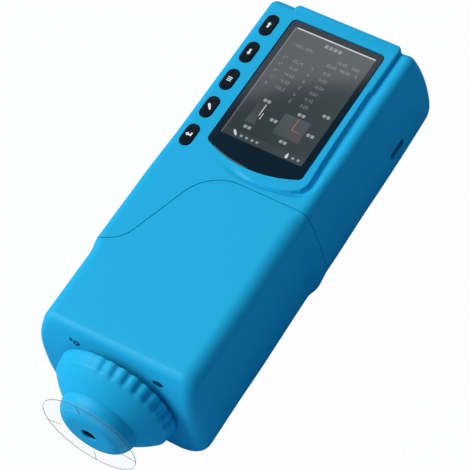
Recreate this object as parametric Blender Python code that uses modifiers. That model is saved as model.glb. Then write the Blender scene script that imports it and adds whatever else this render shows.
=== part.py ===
# Portable colorimeter: a handheld instrument with a twist-lock measuring nose,
# a colour display, five keys and a trigger under the grip.
# X points to the right-hand side, Y from the nose to the rear, Z up out of the display.
# The origin is in the middle of the rest face.

import math

import bmesh
import bpy
from mathutils import Matrix, Vector

MM = 0.001

# Whole instrument
BODY_LENGTH = 205 * MM          # nose tip to the rear bulge
BODY_HEIGHT = 57.5 * MM         # rest face to the display face
GRIP_HALF_WIDTH = 36.9 * MM     # front shell
REAR_HALF_WIDTH = 38.4 * MM     # widest place of the rear housing
AXIS_HEIGHT = 32 * MM           # measuring axis above the rest face
NOSE_LENGTH = 24 * MM           # tip to the front face of the shell
WALL = 2.5 * MM                 # moulded wall
GAP = 0.3 * MM                  # clearance between neighbours
OVERRUN = 0.6 * MM              # how far a cutter reaches past a face

# Body section
TOP_RADIUS = 5 * MM
GRIP_BASE_RADIUS = 15 * MM      # lower edges of the grip
REAR_BASE_RADIUS = 22 * MM      # lower edges of the rear housing
FACE_FILLET = 3.5 * MM          # edge round the front face
REAR_FILLET = 3 * MM            # edge round the rear end
REAR_BULGE = 4 * MM             # how far the rear end stands out above its top edge
REAR_BULGE_HEIGHT = 34 * MM     # height of the furthest point of the rear end
REAR_TAPER = 1.6 * MM           # how much each side comes in towards the rear
STATION_PITCH = 7.5 * MM
SIDE_STEPS = 5                  # points up each side, so that the rear end can bulge
CORNER_STEPS = 4
LOW_CORNER_STEPS = 6
FILLET_STEPS = 3
ARC_STEPS = 12
LEFT_STEP = 0.55 * MM           # step by which the grip's left side widens at its flare
FLARE_LENGTH = 6 * MM
FLARE_SETBACK = 5 * MM          # flare's end to the seam
REAR_RING_SHARES = (0.7, 0.35)  # extra rings on the rear end, so that it bulges

# Wavy seam between front shell and rear housing
SEAM_SETBACK = 8.1 * MM         # seam in front of the display glass, on the right
SEAM_DOOR_MARGIN = 6 * MM       # least distance from the seam to the battery door
SEAM_DROP = 47.4 * MM           # how much further forward it runs on the left
SEAM_CORNER_X = -11.5 * MM      # where the slanted stretch meets the right-hand line
SEAM_SLANT = 18.9               # degrees off the length of the body
SEAM_RIGHT_RADIUS = 19.6 * MM
SEAM_LEFT_RADIUS = 15 * MM

# Display and its raised platform
GLASS_HALF_WIDTH = 23.3 * MM
GLASS_CENTRE_X = 0.5 * MM
GLASS_REAR_MARGIN = 8.3 * MM    # glass to the rear end
GLASS_FRONT_MARGIN = 10.65 * MM # glass in front of the window
GLASS_BOW = 5.2 * MM            # how far the front edge bows out in front of the sides
GLASS_CORNER_RADIUS = 2.5 * MM
GLASS_THICKNESS = 1 * MM
GLASS_RECESS = 0.2 * MM
GLASS_POCKET = 1.5 * MM
WINDOW_WIDTH = 39.2 * MM
WINDOW_LENGTH = 59.1 * MM
WINDOW_CENTRE_X = 0.9 * MM
WINDOW_REAR_MARGIN = 3.15 * MM  # window to the glass's rear edge
MODULE_BORDER = 1.3 * MM        # display module beyond the window
MODULE_THICKNESS = 3 * MM
PLATFORM_REAR_MARGIN = 1.4 * MM
PLATFORM_LEFT_X = -22 * MM
PLATFORM_RIGHT_X = 27 * MM
PLATFORM_HEIGHT = 6.5 * MM      # depth of its overhang at the rear
GROOVE_RADIUS = 2.4 * MM
GROOVE_DEPTH = 0.9 * MM
GROOVE_X = 27.4 * MM
GROOVE_SPREAD = 1.6 * MM        # how much wider the groove runs at its front corner
GROOVE_FRONT_MARGIN = 5.7 * MM  # groove in front of the glass
GROOVE_CORNER_RADIUS = 9 * MM
GROOVE_LEFT_X = -19 * MM
GROOVE_LEFT_RISE = 5.5 * MM

# Keys
KEY_NAMES = ("key_return", "key_pen", "key_menu", "key_down", "key_up")
KEY_X = -29.3 * MM
KEY_REAR_MARGIN = 16 * MM       # middle of the rearmost key to the rear end
KEY_PITCH = 15.45 * MM
KEY_WIDTH = 5.3 * MM
KEY_LENGTH = 10.9 * MM
KEY_PROUD = 0.4 * MM
KEY_TRAVEL = 0.6 * MM
KEY_FLANGE = 0.8 * MM
KEY_FLANGE_RIM = 0.9 * MM
KEY_END_SHARE = 0.98            # of half the width: the round ends keep a short flat
MEMBRANE_RIM = 1.6 * MM

# Boards and what they carry
BOARD_THICKNESS = 1.6 * MM
MAIN_BOARD_LEFT_X = -34 * MM
MAIN_BOARD_RIGHT_X = 31 * MM
MAIN_BOARD_FRONT_MARGIN = 13.15 * MM  # board beyond the display module at the front
MAIN_BOARD_REAR_MARGIN = 8 * MM
BOARD_BOSS_RADIUS = 2.1 * MM
CHIP_HEIGHT = 1.4 * MM
CHIP_SIZE = 14 * MM
BUZZER_RADIUS = 6 * MM
BUZZER_HEIGHT = 4 * MM

# Screws
SMALL_SHANK = 0.8 * MM
SMALL_HEAD = 1.6 * MM
SMALL_HEAD_HEIGHT = 1.2 * MM
SMALL_LENGTH = 4.2 * MM
LARGE_SHANK = 1.1 * MM
LARGE_HEAD = 2.3 * MM
LARGE_HEAD_HEIGHT = 1.6 * MM
FRAME_SCREW_LENGTH = 8 * MM
LARGE_BOSS_RADIUS = 3.1 * MM
SCREW_SIDES = 8
BOSS_SIDES = 12
POST_REACH_SHARE = 0.6          # a post starts from the wall this far out along its radius

# Battery, its bay and its door
BATTERY_WIDTH = 40 * MM
BATTERY_LENGTH = 60 * MM
BATTERY_HEIGHT = 19 * MM
BATTERY_SETBACK = 48.5 * MM     # middle of the battery to the rear end
BATTERY_ROUNDING = 3 * MM
BAY_WALL = 1.5 * MM
DOOR_THICKNESS = 2 * MM
DOOR_WIDTH = 44 * MM
DOOR_FRONT_MARGIN = 3.5 * MM    # door beyond the battery
DOOR_REAR_MARGIN = 3 * MM
FRAME_THICKNESS = 2 * MM
FRAME_HALF_WIDTH = 29.5 * MM
FRAME_FRONT_MARGIN = 12 * MM    # frame beyond the battery
FRAME_REAR_MARGIN = 6 * MM
ARM_INNER_X = 20 * MM
ARM_OUTER_X = 27.5 * MM
ARM_SETBACK = 4.6 * MM          # arms' front ends behind the optical chassis
FRAME_BOSS_X = 26 * MM
FRAME_BOSS_INSET = 2 * MM       # bosses inside the door's ends
ARM_BOSS_X = 23.7 * MM
ARM_BOSS_INSET = 4 * MM
CONNECTOR_WIDTH = 16 * MM
CONNECTOR_HEIGHT = 5 * MM
CONNECTOR_DEPTH = 2 * MM

# Power switch in the right-hand side
SWITCH_REAR_MARGIN = 30 * MM
SWITCH_Z = 27.9 * MM
SLOT_LENGTH = 10 * MM
SLOT_HEIGHT = 3.7 * MM
SLIDER_LENGTH = 4.6 * MM
SLIDER_RECESS = 0.4 * MM
SWITCH_DEPTH = 5 * MM
SWITCH_LENGTH = 12 * MM
SWITCH_HEIGHT = 7 * MM
EAR_LENGTH = 3 * MM
EAR_THICKNESS = 1.5 * MM

# Sockets behind the rubber cover in the left-hand side
PORT_REAR_MARGIN = 31.5 * MM
PORT_Z = 36 * MM
PORT_POCKET_LENGTH = 26 * MM
PORT_POCKET_HEIGHT = 12 * MM
COVER_THICKNESS = 1 * MM
USB_LENGTH = 9 * MM
USB_WIDTH = 7.7 * MM
USB_HEIGHT = 3.9 * MM
USB_SHELL = 0.4 * MM
CHARGE_WIDTH = 8 * MM
CHARGE_BORE = 1.7 * MM
CHARGE_HEIGHT = 6 * MM
SOCKET_OFFSET = 6.5 * MM
PORT_BOARD_LENGTH = 24 * MM
PORT_BOARD_DEPTH = 16 * MM
PORT_POST_INSET = 3 * MM
STAKE_RADIUS = 0.9 * MM         # pins that hold the board on its posts
STAKE_RISE = 0.6 * MM

# Trigger under the grip
TRIGGER_MARGIN = 35.2 * MM      # middle of the trigger in front of the seam
TRIGGER_WIDTH = 18 * MM
TRIGGER_LENGTH = 22 * MM
TRIGGER_RISE = 0.8 * MM         # its face above the rest face
TRIGGER_FLANGE = 1 * MM
TRIGGER_FLANGE_RIM = 1.5 * MM
TRIGGER_TRAVEL = 1.5 * MM
TRIGGER_STEM_RADIUS = 2.5 * MM
TRIGGER_STEM_HEIGHT = 1.2 * MM
TACT_SIZE = 6 * MM
TACT_HEIGHT = 4 * MM
TRIGGER_BOARD_WIDTH = 34 * MM
TRIGGER_BOARD_LENGTH = 16 * MM
TRIGGER_POST_X = 14.5 * MM

# Measuring nose; depths are measured rearwards from the tip
APERTURE_RADIUS = 4 * MM
TIP_RADIUS = 11.4 * MM
TIP_STEP = 1.8 * MM
CAP_SHOULDER_RADIUS = 12.8 * MM
CAP_RADIUS = 17.4 * MM
CAP_LENGTH = 8 * MM
DOME_SHARES = ((0.35, 0.2), (0.65, 0.48), (0.9, 0.8))  # of the dome's rise and length
CAP_SPIGOT_RADIUS = 11.3 * MM
CAP_SPIGOT_BORE = 9 * MM
CAP_SPIGOT_END = 15.5 * MM
PLATE_RADIUS = 22 * MM
PLATE_THICKNESS = 1.1 * MM
CONE_FRONT_RADIUS = 17.8 * MM
CONE_RADIUS = 26.1 * MM
CONE_END = 16 * MM
RING_CREST = 27 * MM
RING_ROOT = 26.1 * MM
RING_BACK = 22.8 * MM
RIBS = 30
COLLAR_RADIUS = 22 * MM
COLLAR_BORE = 19 * MM
COLLAR_FRONT = 17.3 * MM
COLLAR_FLANGE_RADIUS = 25.5 * MM
COLLAR_FLANGE = 2 * MM
COLLAR_SCREW_CIRCLE = 23.7 * MM
COLLAR_SCREW_ANGLE = 60         # degrees above the right-hand side
SEAL_THICKNESS = 0.6 * MM
SEAL_RADIUS = 25.2 * MM
TUBE_RADIUS = 8.5 * MM
TUBE_BORE = 4.5 * MM
TUBE_FRONT = 2.2 * MM
TUBE_FLANGE = 1.5 * MM
TURN_STEPS = 36
FINE_TURN_STEPS = 24            # small turned pieces

# Optical unit
SPHERE_RADIUS = 18.5 * MM
SPHERE_BORE = 16.5 * MM
SPHERE_NECK_RADIUS = 10 * MM
SPHERE_NECK_RISE = 1.5 * MM
SPHERE_FLANGE_RADIUS = 22.3 * MM
SPHERE_FLANGE = 1.85 * MM
SPHERE_RINGS = 5
SPHERE_SHOULDER_SHARE = 1.3     # the outside of a half starts this far up its flange
LED_BOARD_RADIUS = 18 * MM
LED_RADIUS = 1.2 * MM
LED_HEIGHT = 1.2 * MM
LED_CIRCLE = 14 * MM
LED_COUNT = 8
CHASSIS_HALF_WIDTH = 30 * MM
CHASSIS_HALF_HEIGHT = 22 * MM
CHASSIS_THICKNESS = 3 * MM
CHASSIS_POST_X = 26 * MM
CHASSIS_POST_Z = 15.5 * MM
SHELL_BOSS_LENGTH = 7.5 * MM
SENSOR_NECK_RADIUS = 6.5 * MM
SENSOR_TUBE_RADIUS = 6 * MM
SENSOR_TUBE_BORE = 4.5 * MM
SENSOR_TUBE_LENGTH = 10 * MM
SENSOR_BOARD_WIDTH = 48 * MM
SENSOR_BOARD_HEIGHT = 15 * MM
SENSOR_PILLAR_X = 21.3 * MM
SENSOR_PILLAR_RADIUS = 2.1 * MM
DETECTOR_SIZE = 5 * MM
DETECTOR_THICKNESS = 1.4 * MM

# Places that follow from the sizes
TIP_Y = -BODY_LENGTH / 2
REAR_Y = BODY_LENGTH / 2
FACE_Y = TIP_Y + NOSE_LENGTH
GLASS_REAR_Y = REAR_Y - GLASS_REAR_MARGIN
WINDOW_CENTRE_Y = GLASS_REAR_Y - WINDOW_REAR_MARGIN - WINDOW_LENGTH / 2
WINDOW_FRONT_Y = WINDOW_CENTRE_Y - WINDOW_LENGTH / 2
GLASS_FRONT_Y = WINDOW_FRONT_Y - GLASS_FRONT_MARGIN
GLASS_CORNER_Y = GLASS_FRONT_Y + GLASS_BOW
PLATFORM_REAR_Y = REAR_Y - PLATFORM_REAR_MARGIN
GROOVE_FRONT_Y = GLASS_FRONT_Y - GROOVE_FRONT_MARGIN
KEY_FIRST_Y = REAR_Y - KEY_REAR_MARGIN - KEY_PITCH * (len(KEY_NAMES) - 1)
MAIN_BOARD_REAR_Y = REAR_Y - MAIN_BOARD_REAR_MARGIN
MAIN_BOARD_FRONT_Y = WINDOW_FRONT_Y - MODULE_BORDER - MAIN_BOARD_FRONT_MARGIN
BATTERY_CENTRE_Y = REAR_Y - BATTERY_SETBACK
BATTERY_FRONT_Y = BATTERY_CENTRE_Y - BATTERY_LENGTH / 2
BATTERY_REAR_Y = BATTERY_CENTRE_Y + BATTERY_LENGTH / 2
DOOR_FRONT_Y = BATTERY_FRONT_Y - DOOR_FRONT_MARGIN
DOOR_REAR_Y = BATTERY_REAR_Y + DOOR_REAR_MARGIN
SEAM_RIGHT_Y = min(GLASS_FRONT_Y - SEAM_SETBACK, DOOR_FRONT_Y - SEAM_DOOR_MARGIN)
SEAM_LEFT_Y = SEAM_RIGHT_Y - SEAM_DROP
FRAME_FRONT_Y = BATTERY_FRONT_Y - FRAME_FRONT_MARGIN
FRAME_REAR_Y = BATTERY_REAR_Y + FRAME_REAR_MARGIN
SWITCH_Y = REAR_Y - SWITCH_REAR_MARGIN
PORT_Y = REAR_Y - PORT_REAR_MARGIN
TRIGGER_Y = SEAM_RIGHT_Y - TRIGGER_MARGIN
INNER_TOP = BODY_HEIGHT - WALL
MODULE_BASE = INNER_TOP - GAP - MODULE_THICKNESS
BOARD_TOP = MODULE_BASE - GAP
BOARD_BASE = BOARD_TOP - BOARD_THICKNESS
DOOR_TOP = GAP + DOOR_THICKNESS
BATTERY_TOP = DOOR_TOP + GAP + BATTERY_HEIGHT
FRAME_BASE = BATTERY_TOP + GAP
FRAME_TOP = FRAME_BASE + FRAME_THICKNESS
FLANGE_FRONT = NOSE_LENGTH + WALL + GAP
SPHERE_NECK_FRONT = FLANGE_FRONT + COLLAR_FLANGE + GAP
SPHERE_DEPTH = SPHERE_NECK_FRONT + SPHERE_NECK_RISE + SPHERE_RADIUS
CHASSIS_FRONT = SPHERE_DEPTH + GAP / 2 + SPHERE_FLANGE + GAP
CHASSIS_BACK = CHASSIS_FRONT + CHASSIS_THICKNESS
SHELL_BOSS_END = NOSE_LENGTH + WALL + SHELL_BOSS_LENGTH
ARM_FRONT_Y = TIP_Y + CHASSIS_BACK + ARM_SETBACK
ARM_BOSS_Y = ARM_FRONT_Y + ARM_BOSS_INSET
SENSOR_NECK_END = SPHERE_DEPTH + SPHERE_RADIUS + SPHERE_NECK_RISE
SENSOR_TUBE_FRONT = SENSOR_NECK_END + GAP
SENSOR_BOARD_FRONT = SENSOR_TUBE_FRONT + SENSOR_TUBE_LENGTH + GAP

for old in list(bpy.data.objects):
    bpy.data.objects.remove(old, do_unlink=True)

parts = bpy.data.collections.new("portable_colorimeter")
tools = bpy.data.collections.new("cutters")
bpy.context.scene.collection.children.link(parts)
bpy.context.scene.collection.children.link(tools)


def finish(name, colour, roughness, metallic=0.0):
    """A plain finish of one colour."""
    material = bpy.data.materials.new(name)
    material.use_nodes = True
    shader = material.node_tree.nodes["Principled BSDF"]
    shader.inputs["Base Color"].default_value = (*colour, 1.0)
    shader.inputs["Roughness"].default_value = roughness
    shader.inputs["Metallic"].default_value = metallic
    return material


def blue_soft_touch():
    return finish("blue_soft_touch", (0.02, 0.36, 0.68), 0.5)


def black_gloss():
    return finish("black_gloss", (0.01, 0.012, 0.016), 0.15)


def black_moulding():
    return finish("black_moulding", (0.02, 0.02, 0.022), 0.5)


def board_green():
    return finish("board_green", (0.01, 0.12, 0.05), 0.4)


def clear_plate():
    return finish("clear_plate", (0.9, 0.92, 0.93), 0.08)


def sphere_white():
    return finish("sphere_white", (0.85, 0.85, 0.83), 0.9)


def steel():
    return finish("steel", (0.6, 0.6, 0.62), 0.3, 1.0)


def grey_alloy():
    return finish("grey_alloy", (0.3, 0.31, 0.32), 0.45, 1.0)


def battery_wrap():
    return finish("battery_wrap", (0.05, 0.09, 0.3), 0.4)


def silicone():
    return finish("silicone", (0.25, 0.26, 0.27), 0.8)


def place(name, mesh, material, location=(0, 0, 0), collection=parts):
    """Put a mesh in the model as an object of its own."""
    item = bpy.data.objects.new(name, mesh)
    item.location = location
    collection.objects.link(item)
    if material is not None:
        mesh.materials.append(material)
    if collection is tools:
        item.hide_render = True
        item.display_type = "WIRE"
    return item


def mesh_from(name, shape):
    """Close a bmesh into a mesh with its faces pointing out."""
    bmesh.ops.recalc_face_normals(shape, faces=shape.faces)
    mesh = bpy.data.meshes.new(name)
    shape.to_mesh(mesh)
    shape.free()
    return mesh


def block(name, low, high, material=None, collection=parts):
    """A box between two corners, with its origin at its middle."""
    low, high = Vector(low), Vector(high)
    shape = bmesh.new()
    bmesh.ops.create_cube(shape, size=1)
    bmesh.ops.scale(shape, vec=high - low, verts=shape.verts)
    return place(name, mesh_from(name, shape), material, (low + high) / 2, collection)


def rod(name, start, end, radius, material=None, collection=parts, sides=BOSS_SIDES):
    """A round bar between two points, with its origin at its middle."""
    start, end = Vector(start), Vector(end)
    span = end - start
    turn = span.to_track_quat("Z", "Y").to_matrix().to_4x4()
    shape = bmesh.new()
    bmesh.ops.create_cone(shape, cap_ends=True, segments=sides, radius1=radius,
                          radius2=radius, depth=span.length, matrix=turn)
    return place(name, mesh_from(name, shape), material, (start + end) / 2, collection)


def outline_plate(name, points, base, top, material=None, collection=parts):
    """A flat outline with straight sides, made from a filled curve."""
    curve = bpy.data.curves.new(name, "CURVE")
    curve.dimensions = "2D"
    curve.fill_mode = "BOTH"
    curve.extrude = (top - base) / 2
    spline = curve.splines.new("POLY")
    spline.points.add(len(points) - 1)
    for point, (x, y) in zip(spline.points, points):
        point.co = (x, y, 0, 1)
    spline.use_cyclic_u = True
    return curve_to_mesh(name, curve, (0, 0, (base + top) / 2), material, collection)


def curve_to_mesh(name, curve, location, material, collection):
    """Make a curve a closed mesh, so that it can be cut, and remove the curve."""
    guide = bpy.data.objects.new(name + "_guide", curve)
    guide.location = location
    tools.objects.link(guide)
    bpy.context.view_layer.update()
    mesh = bpy.data.meshes.new_from_object(guide.evaluated_get(
        bpy.context.evaluated_depsgraph_get()))
    shape = bmesh.new()
    shape.from_mesh(mesh)
    bmesh.ops.remove_doubles(shape, verts=shape.verts, dist=GAP / 100)
    bmesh.ops.recalc_face_normals(shape, faces=shape.faces)
    shape.to_mesh(mesh)
    shape.free()
    mesh.materials.clear()
    item = place(name, mesh, material, collection=collection)
    item.matrix_world = guide.matrix_world.copy()
    bpy.data.objects.remove(guide, do_unlink=True)
    return item


def turned(name, profile, material=None, collection=parts, steps=TURN_STEPS):
    """A piece turned about the measuring axis.

    The profile is a closed list of (radius, depth behind the tip), which starts at the
    front and runs rearwards down the outer side.
    """
    mesh = bpy.data.meshes.new(name)
    points = [(radius, 0, -depth) for radius, depth in profile]
    count = len(points)
    edges = [(index, (index + 1) % count) for index in range(count)]
    mesh.from_pydata(points, edges, [])
    item = place(name, mesh, material, (0, TIP_Y, AXIS_HEIGHT), collection)
    item.rotation_euler = (math.radians(90), 0, 0)
    screw = item.modifiers.new("Turn", "SCREW")
    screw.axis = "Z"
    screw.steps = steps
    screw.render_steps = steps
    screw.use_merge_vertices = True
    screw.merge_threshold = GAP / 100
    screw.use_smooth_shade = True
    return item


def combine(target, other, operation):
    step = target.modifiers.new(other.name, "BOOLEAN")
    step.operation = operation
    step.solver = "EXACT"
    step.object = other


def cut(target, *cutters):
    for cutter in cutters:
        combine(target, cutter, "DIFFERENCE")


def join(target, *pieces):
    for piece in pieces:
        combine(target, piece, "UNION")


def on_axis(x, z, depth):
    """A point given from the measuring axis and the tip."""
    return (x, TIP_Y + depth, AXIS_HEIGHT + z)


def ease(value):
    value = min(max(value, 0), 1)
    return value * value * (3 - 2 * value)


def rounded_outline(width, length, radius, centre=(0, 0), steps=CORNER_STEPS):
    """A rectangle with round corners, as points."""
    points = []
    for corner in range(4):
        side_x = 1 if corner in (0, 3) else -1
        side_y = 1 if corner in (0, 1) else -1
        middle_x = centre[0] + side_x * (width / 2 - radius)
        middle_y = centre[1] + side_y * (length / 2 - radius)
        for step in range(steps + 1):
            angle = math.radians(90) * (corner + step / steps)
            points.append((middle_x + radius * math.cos(angle),
                           middle_y + radius * math.sin(angle)))
    return points


def flare(y, seam_y):
    """How much of the short flare in front of a seam lies behind a section."""
    return ease((y - seam_y + FLARE_SETBACK) / FLARE_LENGTH + 1)


def rear_taper(y):
    return REAR_TAPER * max((y - SEAM_RIGHT_Y) / (REAR_Y - SEAM_RIGHT_Y), 0) ** 3


def right_side(y):
    """Half the body's width on the right, which flares out in one step."""
    swell = REAR_HALF_WIDTH - GRIP_HALF_WIDTH
    return GRIP_HALF_WIDTH + swell * flare(y, SEAM_RIGHT_Y) - rear_taper(y)


def left_side(y):
    """Half the body's width on the left: a small step, then a slow swell."""
    start = SEAM_LEFT_Y - FLARE_SETBACK
    swell = REAR_HALF_WIDTH - GRIP_HALF_WIDTH
    swell *= ease((y - start) / (SEAM_RIGHT_Y - start))
    step = LEFT_STEP * (1 - flare(y, SEAM_LEFT_Y))
    return GRIP_HALF_WIDTH - step + swell - rear_taper(y)


def base_radius(y):
    return GRIP_BASE_RADIUS + (REAR_BASE_RADIUS - GRIP_BASE_RADIUS) * ease(
        (y - FACE_Y) / (SEAM_RIGHT_Y - FACE_Y))


def body_ring(y, inset):
    """The body's rounded section at y, pulled in by inset, as (x, z) points."""
    right, left = right_side(y) - inset, left_side(y) - inset
    top, base = BODY_HEIGHT - inset, inset
    top_radius = TOP_RADIUS - inset
    low_radius = base_radius(y) - inset
    corners = (
        (right - top_radius, top - top_radius, top_radius, CORNER_STEPS),
        (-left + top_radius, top - top_radius, top_radius, CORNER_STEPS),
        (-left + low_radius, base + low_radius, low_radius, LOW_CORNER_STEPS),
        (right - low_radius, base + low_radius, low_radius, LOW_CORNER_STEPS),
    )
    arcs = []
    for quarter, (x, z, radius, steps) in enumerate(corners):
        angles = [math.radians(90) * (quarter + step / steps) for step in range(steps + 1)]
        arcs.append([(x + radius * math.cos(angle), z + radius * math.sin(angle))
                     for angle in angles])
    side_shares = [step / SIDE_STEPS for step in range(1, SIDE_STEPS)]
    high, low = top - top_radius, base + low_radius
    left_points = [(-left, high + (low - high) * share) for share in side_shares]
    right_points = [(right, low + (high - low) * share) for share in side_shares]
    return arcs[0] + arcs[1] + left_points + arcs[2] + arcs[3] + right_points


def rear_drop(z):
    """How far forward of its furthest point the rear end lies at a height."""
    reach = BODY_HEIGHT - REAR_BULGE_HEIGHT
    return REAR_BULGE * ((z - REAR_BULGE_HEIGHT) / reach) ** 2


def body_stations(start, end):
    """Evenly spaced sections, with more of them where the sides flare."""
    count = round((end - start) / STATION_PITCH)
    stations = [start + (end - start) * step / count for step in range(1, count)]
    for seam_y in (SEAM_LEFT_Y, SEAM_RIGHT_Y):
        flare_end = seam_y - FLARE_SETBACK
        middle = flare_end - FLARE_LENGTH / 2
        stations = [y for y in stations if abs(y - middle) > FLARE_LENGTH * 2 / 3]
        stations += [flare_end - FLARE_LENGTH * step / CORNER_STEPS
                     for step in range(CORNER_STEPS + 1)]
    return sorted(y for y in stations if start < y < end)


def body_surface(depth):
    """Rings of the body at a depth under its outer surface, from the nose end to the rear."""
    rings = []
    start, end = FACE_Y + FACE_FILLET, REAR_Y - REAR_FILLET
    quarter = [math.radians(90) * step / FILLET_STEPS for step in range(FILLET_STEPS + 1)]
    radius = FACE_FILLET - depth
    for angle in quarter:
        y = start - radius * math.cos(angle)
        rings.append([(x, y, z) for x, z in
                      body_ring(y, depth + radius * (1 - math.sin(angle)))])
    for y in body_stations(start, end):
        bend = ease((y - GLASS_CORNER_Y) / (end - GLASS_CORNER_Y))
        rings.append([(x, y - rear_drop(z) * bend, z) for x, z in body_ring(y, depth)])
    radius = REAR_FILLET - depth
    for angle in quarter:
        y = end + radius * math.sin(angle)
        rings.append([(x, y - rear_drop(z), z) for x, z in
                      body_ring(end, depth + radius * (1 - math.cos(angle)))])
    for share in REAR_RING_SHARES:
        middle = [(x * share, REAR_BULGE_HEIGHT + (z - REAR_BULGE_HEIGHT) * share)
                  for x, z in body_ring(end, REAR_FILLET)]
        rings.append([(x, REAR_Y - depth - rear_drop(z), z) for x, z in middle])
    return rings


def body_solid(name, rings):
    """Faces between neighbouring rings, and one at each end."""
    shape = bmesh.new()
    rows = [[shape.verts.new(point) for point in ring] for ring in rings]
    for row, following in zip(rows, rows[1:]):
        for index in range(len(row)):
            after = (index + 1) % len(row)
            shape.faces.new((row[index], row[after], following[after], following[index]))
    shape.faces.new(rows[0])
    shape.faces.new(rows[-1])
    return mesh_from(name, shape)


def hollow_body(name, material):
    """The body as one moulded wall, still closed all round."""
    item = place(name, body_solid(name, body_surface(0)), material)
    inside = name + "_inside"
    cut(item, place(inside, body_solid(inside, body_surface(WALL)), None, collection=tools))
    return item


def seam_outline(grow):
    """The front shell's outline seen from above, pushed out by grow at the seam."""
    slant = math.radians(SEAM_SLANT)
    along = Vector((-math.sin(slant), -math.cos(slant)))
    outward = Vector((-math.cos(slant), math.sin(slant)))
    right_y, left_y = SEAM_RIGHT_Y + grow, SEAM_LEFT_Y + grow
    anchor = Vector((SEAM_CORNER_X, SEAM_RIGHT_Y)) + outward * grow
    first = anchor + along * ((right_y - anchor.y) / along.y)
    second = anchor + along * ((left_y - anchor.y) / along.y)
    turn = math.radians(90) - slant
    points = [(BODY_LENGTH, right_y)]
    points += fillet_points(first, Vector((1, 0)), along, SEAM_RIGHT_RADIUS + grow, turn)
    points += fillet_points(second, -along, Vector((-1, 0)), SEAM_LEFT_RADIUS - grow, turn)
    points += [(-BODY_LENGTH, left_y), (-BODY_LENGTH, -BODY_LENGTH), (BODY_LENGTH, -BODY_LENGTH)]
    return points


def fillet_points(corner, before, after, radius, turn):
    """An arc round a corner between the directions that leave it."""
    reach = radius * math.tan(turn / 2)
    start, end = corner + before * reach, corner + after * reach
    inward = (before + after).normalized()
    centre = corner + inward * (radius / math.cos(turn / 2))
    first, last = start - centre, end - centre
    sweep = first.angle_signed(last)
    points = []
    for step in range(ARC_STEPS + 1):
        arm = first.copy()
        arm.rotate(Matrix.Rotation(-sweep * step / ARC_STEPS, 2))
        points.append(tuple(centre + arm))
    return points


def seam_cutter(name, grow):
    return outline_plate(name, seam_outline(grow), -OVERRUN, BODY_HEIGHT + OVERRUN,
                         collection=tools)


def glass_outline(grow):
    """Straight rear and sides, and a front edge that bows forward."""
    half, radius = GLASS_HALF_WIDTH + grow, GLASS_CORNER_RADIUS + grow
    rear = GLASS_REAR_Y + grow
    points = []
    for side, start in ((1, 0), (-1, 90)):
        middle_x = GLASS_CENTRE_X + side * (half - radius)
        for step in range(CORNER_STEPS + 1):
            angle = math.radians(start + 90 * step / CORNER_STEPS)
            points.append((middle_x + radius * math.cos(angle),
                           rear - radius + radius * math.sin(angle)))
    bow = GLASS_CORNER_Y - GLASS_FRONT_Y
    sweep = (GLASS_HALF_WIDTH ** 2 + bow ** 2) / (2 * bow)
    widest = math.asin(GLASS_HALF_WIDTH / sweep)
    for step in range(ARC_STEPS + 1):
        angle = widest * (2 * step / ARC_STEPS - 1)
        points.append((GLASS_CENTRE_X + (sweep + grow) * math.sin(angle),
                       GLASS_FRONT_Y + sweep - (sweep + grow) * math.cos(angle)))
    return points


def groove_cutter():
    """A round bar bent along the foot of the platform, which leaves a valley."""
    centre_y = GROOVE_FRONT_Y + GROOVE_CORNER_RADIUS
    corner_x = GROOVE_X + GROOVE_SPREAD - GROOVE_CORNER_RADIUS
    bar_height = BODY_HEIGHT - GROOVE_DEPTH + GROOVE_RADIUS
    points = [(GROOVE_X, REAR_Y + GROOVE_RADIUS, bar_height),
              (GROOVE_X, WINDOW_CENTRE_Y, bar_height)]
    for step in range(ARC_STEPS + 1):
        angle = math.radians(90) * step / ARC_STEPS
        points.append((corner_x + GROOVE_CORNER_RADIUS * math.cos(angle),
                       centre_y - GROOVE_CORNER_RADIUS * math.sin(angle), bar_height))
    for step in range(1, LOW_CORNER_STEPS + 1):
        share = step / LOW_CORNER_STEPS
        points.append((corner_x + (GROOVE_LEFT_X - corner_x) * share,
                       GROOVE_FRONT_Y + GROOVE_LEFT_RISE * share ** 2,
                       bar_height + GROOVE_DEPTH * ease(share) ** 2))
    curve = bpy.data.curves.new("groove", "CURVE")
    curve.dimensions = "3D"
    curve.bevel_depth = GROOVE_RADIUS
    curve.bevel_resolution = 2
    curve.use_fill_caps = True
    spline = curve.splines.new("POLY")
    spline.points.add(len(points) - 1)
    for point, place_at in zip(spline.points, points):
        point.co = (*place_at, 1)
    return curve_to_mesh("groove", curve, (0, 0, 0), None, tools)


def floor_boss(name, x, y, radius, top):
    """A round post that grows out of the lower wall."""
    outer_x = math.copysign(abs(x) + radius * POST_REACH_SHARE, x)
    return rod(name, (x, y, WALL / 2 + floor_rise(outer_x, y)), (x, y, top), radius, None, tools)


def floor_rise(x, y):
    """Height of the outer lower wall at a place, which climbs round the lower edge."""
    side = right_side(y) if x > 0 else left_side(y)
    radius = base_radius(y)
    past = abs(x) - (side - radius)
    if past <= 0:
        return 0
    return radius - math.sqrt(max(radius ** 2 - past ** 2, 0))


def screw_hole(name, start, end, shank):
    return rod(name, start, end, shank + GAP, None, tools)


def post_pair(name, x, y, top, shank, depth):
    """A floor post and its screw hole."""
    radius = LARGE_BOSS_RADIUS if shank == LARGE_SHANK else BOARD_BOSS_RADIUS
    post = floor_boss(name + "_post", x, y, radius, top)
    hole = screw_hole(name + "_hole", (x, y, top - depth), (x, y, top + OVERRUN), shank)
    return post, hole


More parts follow.
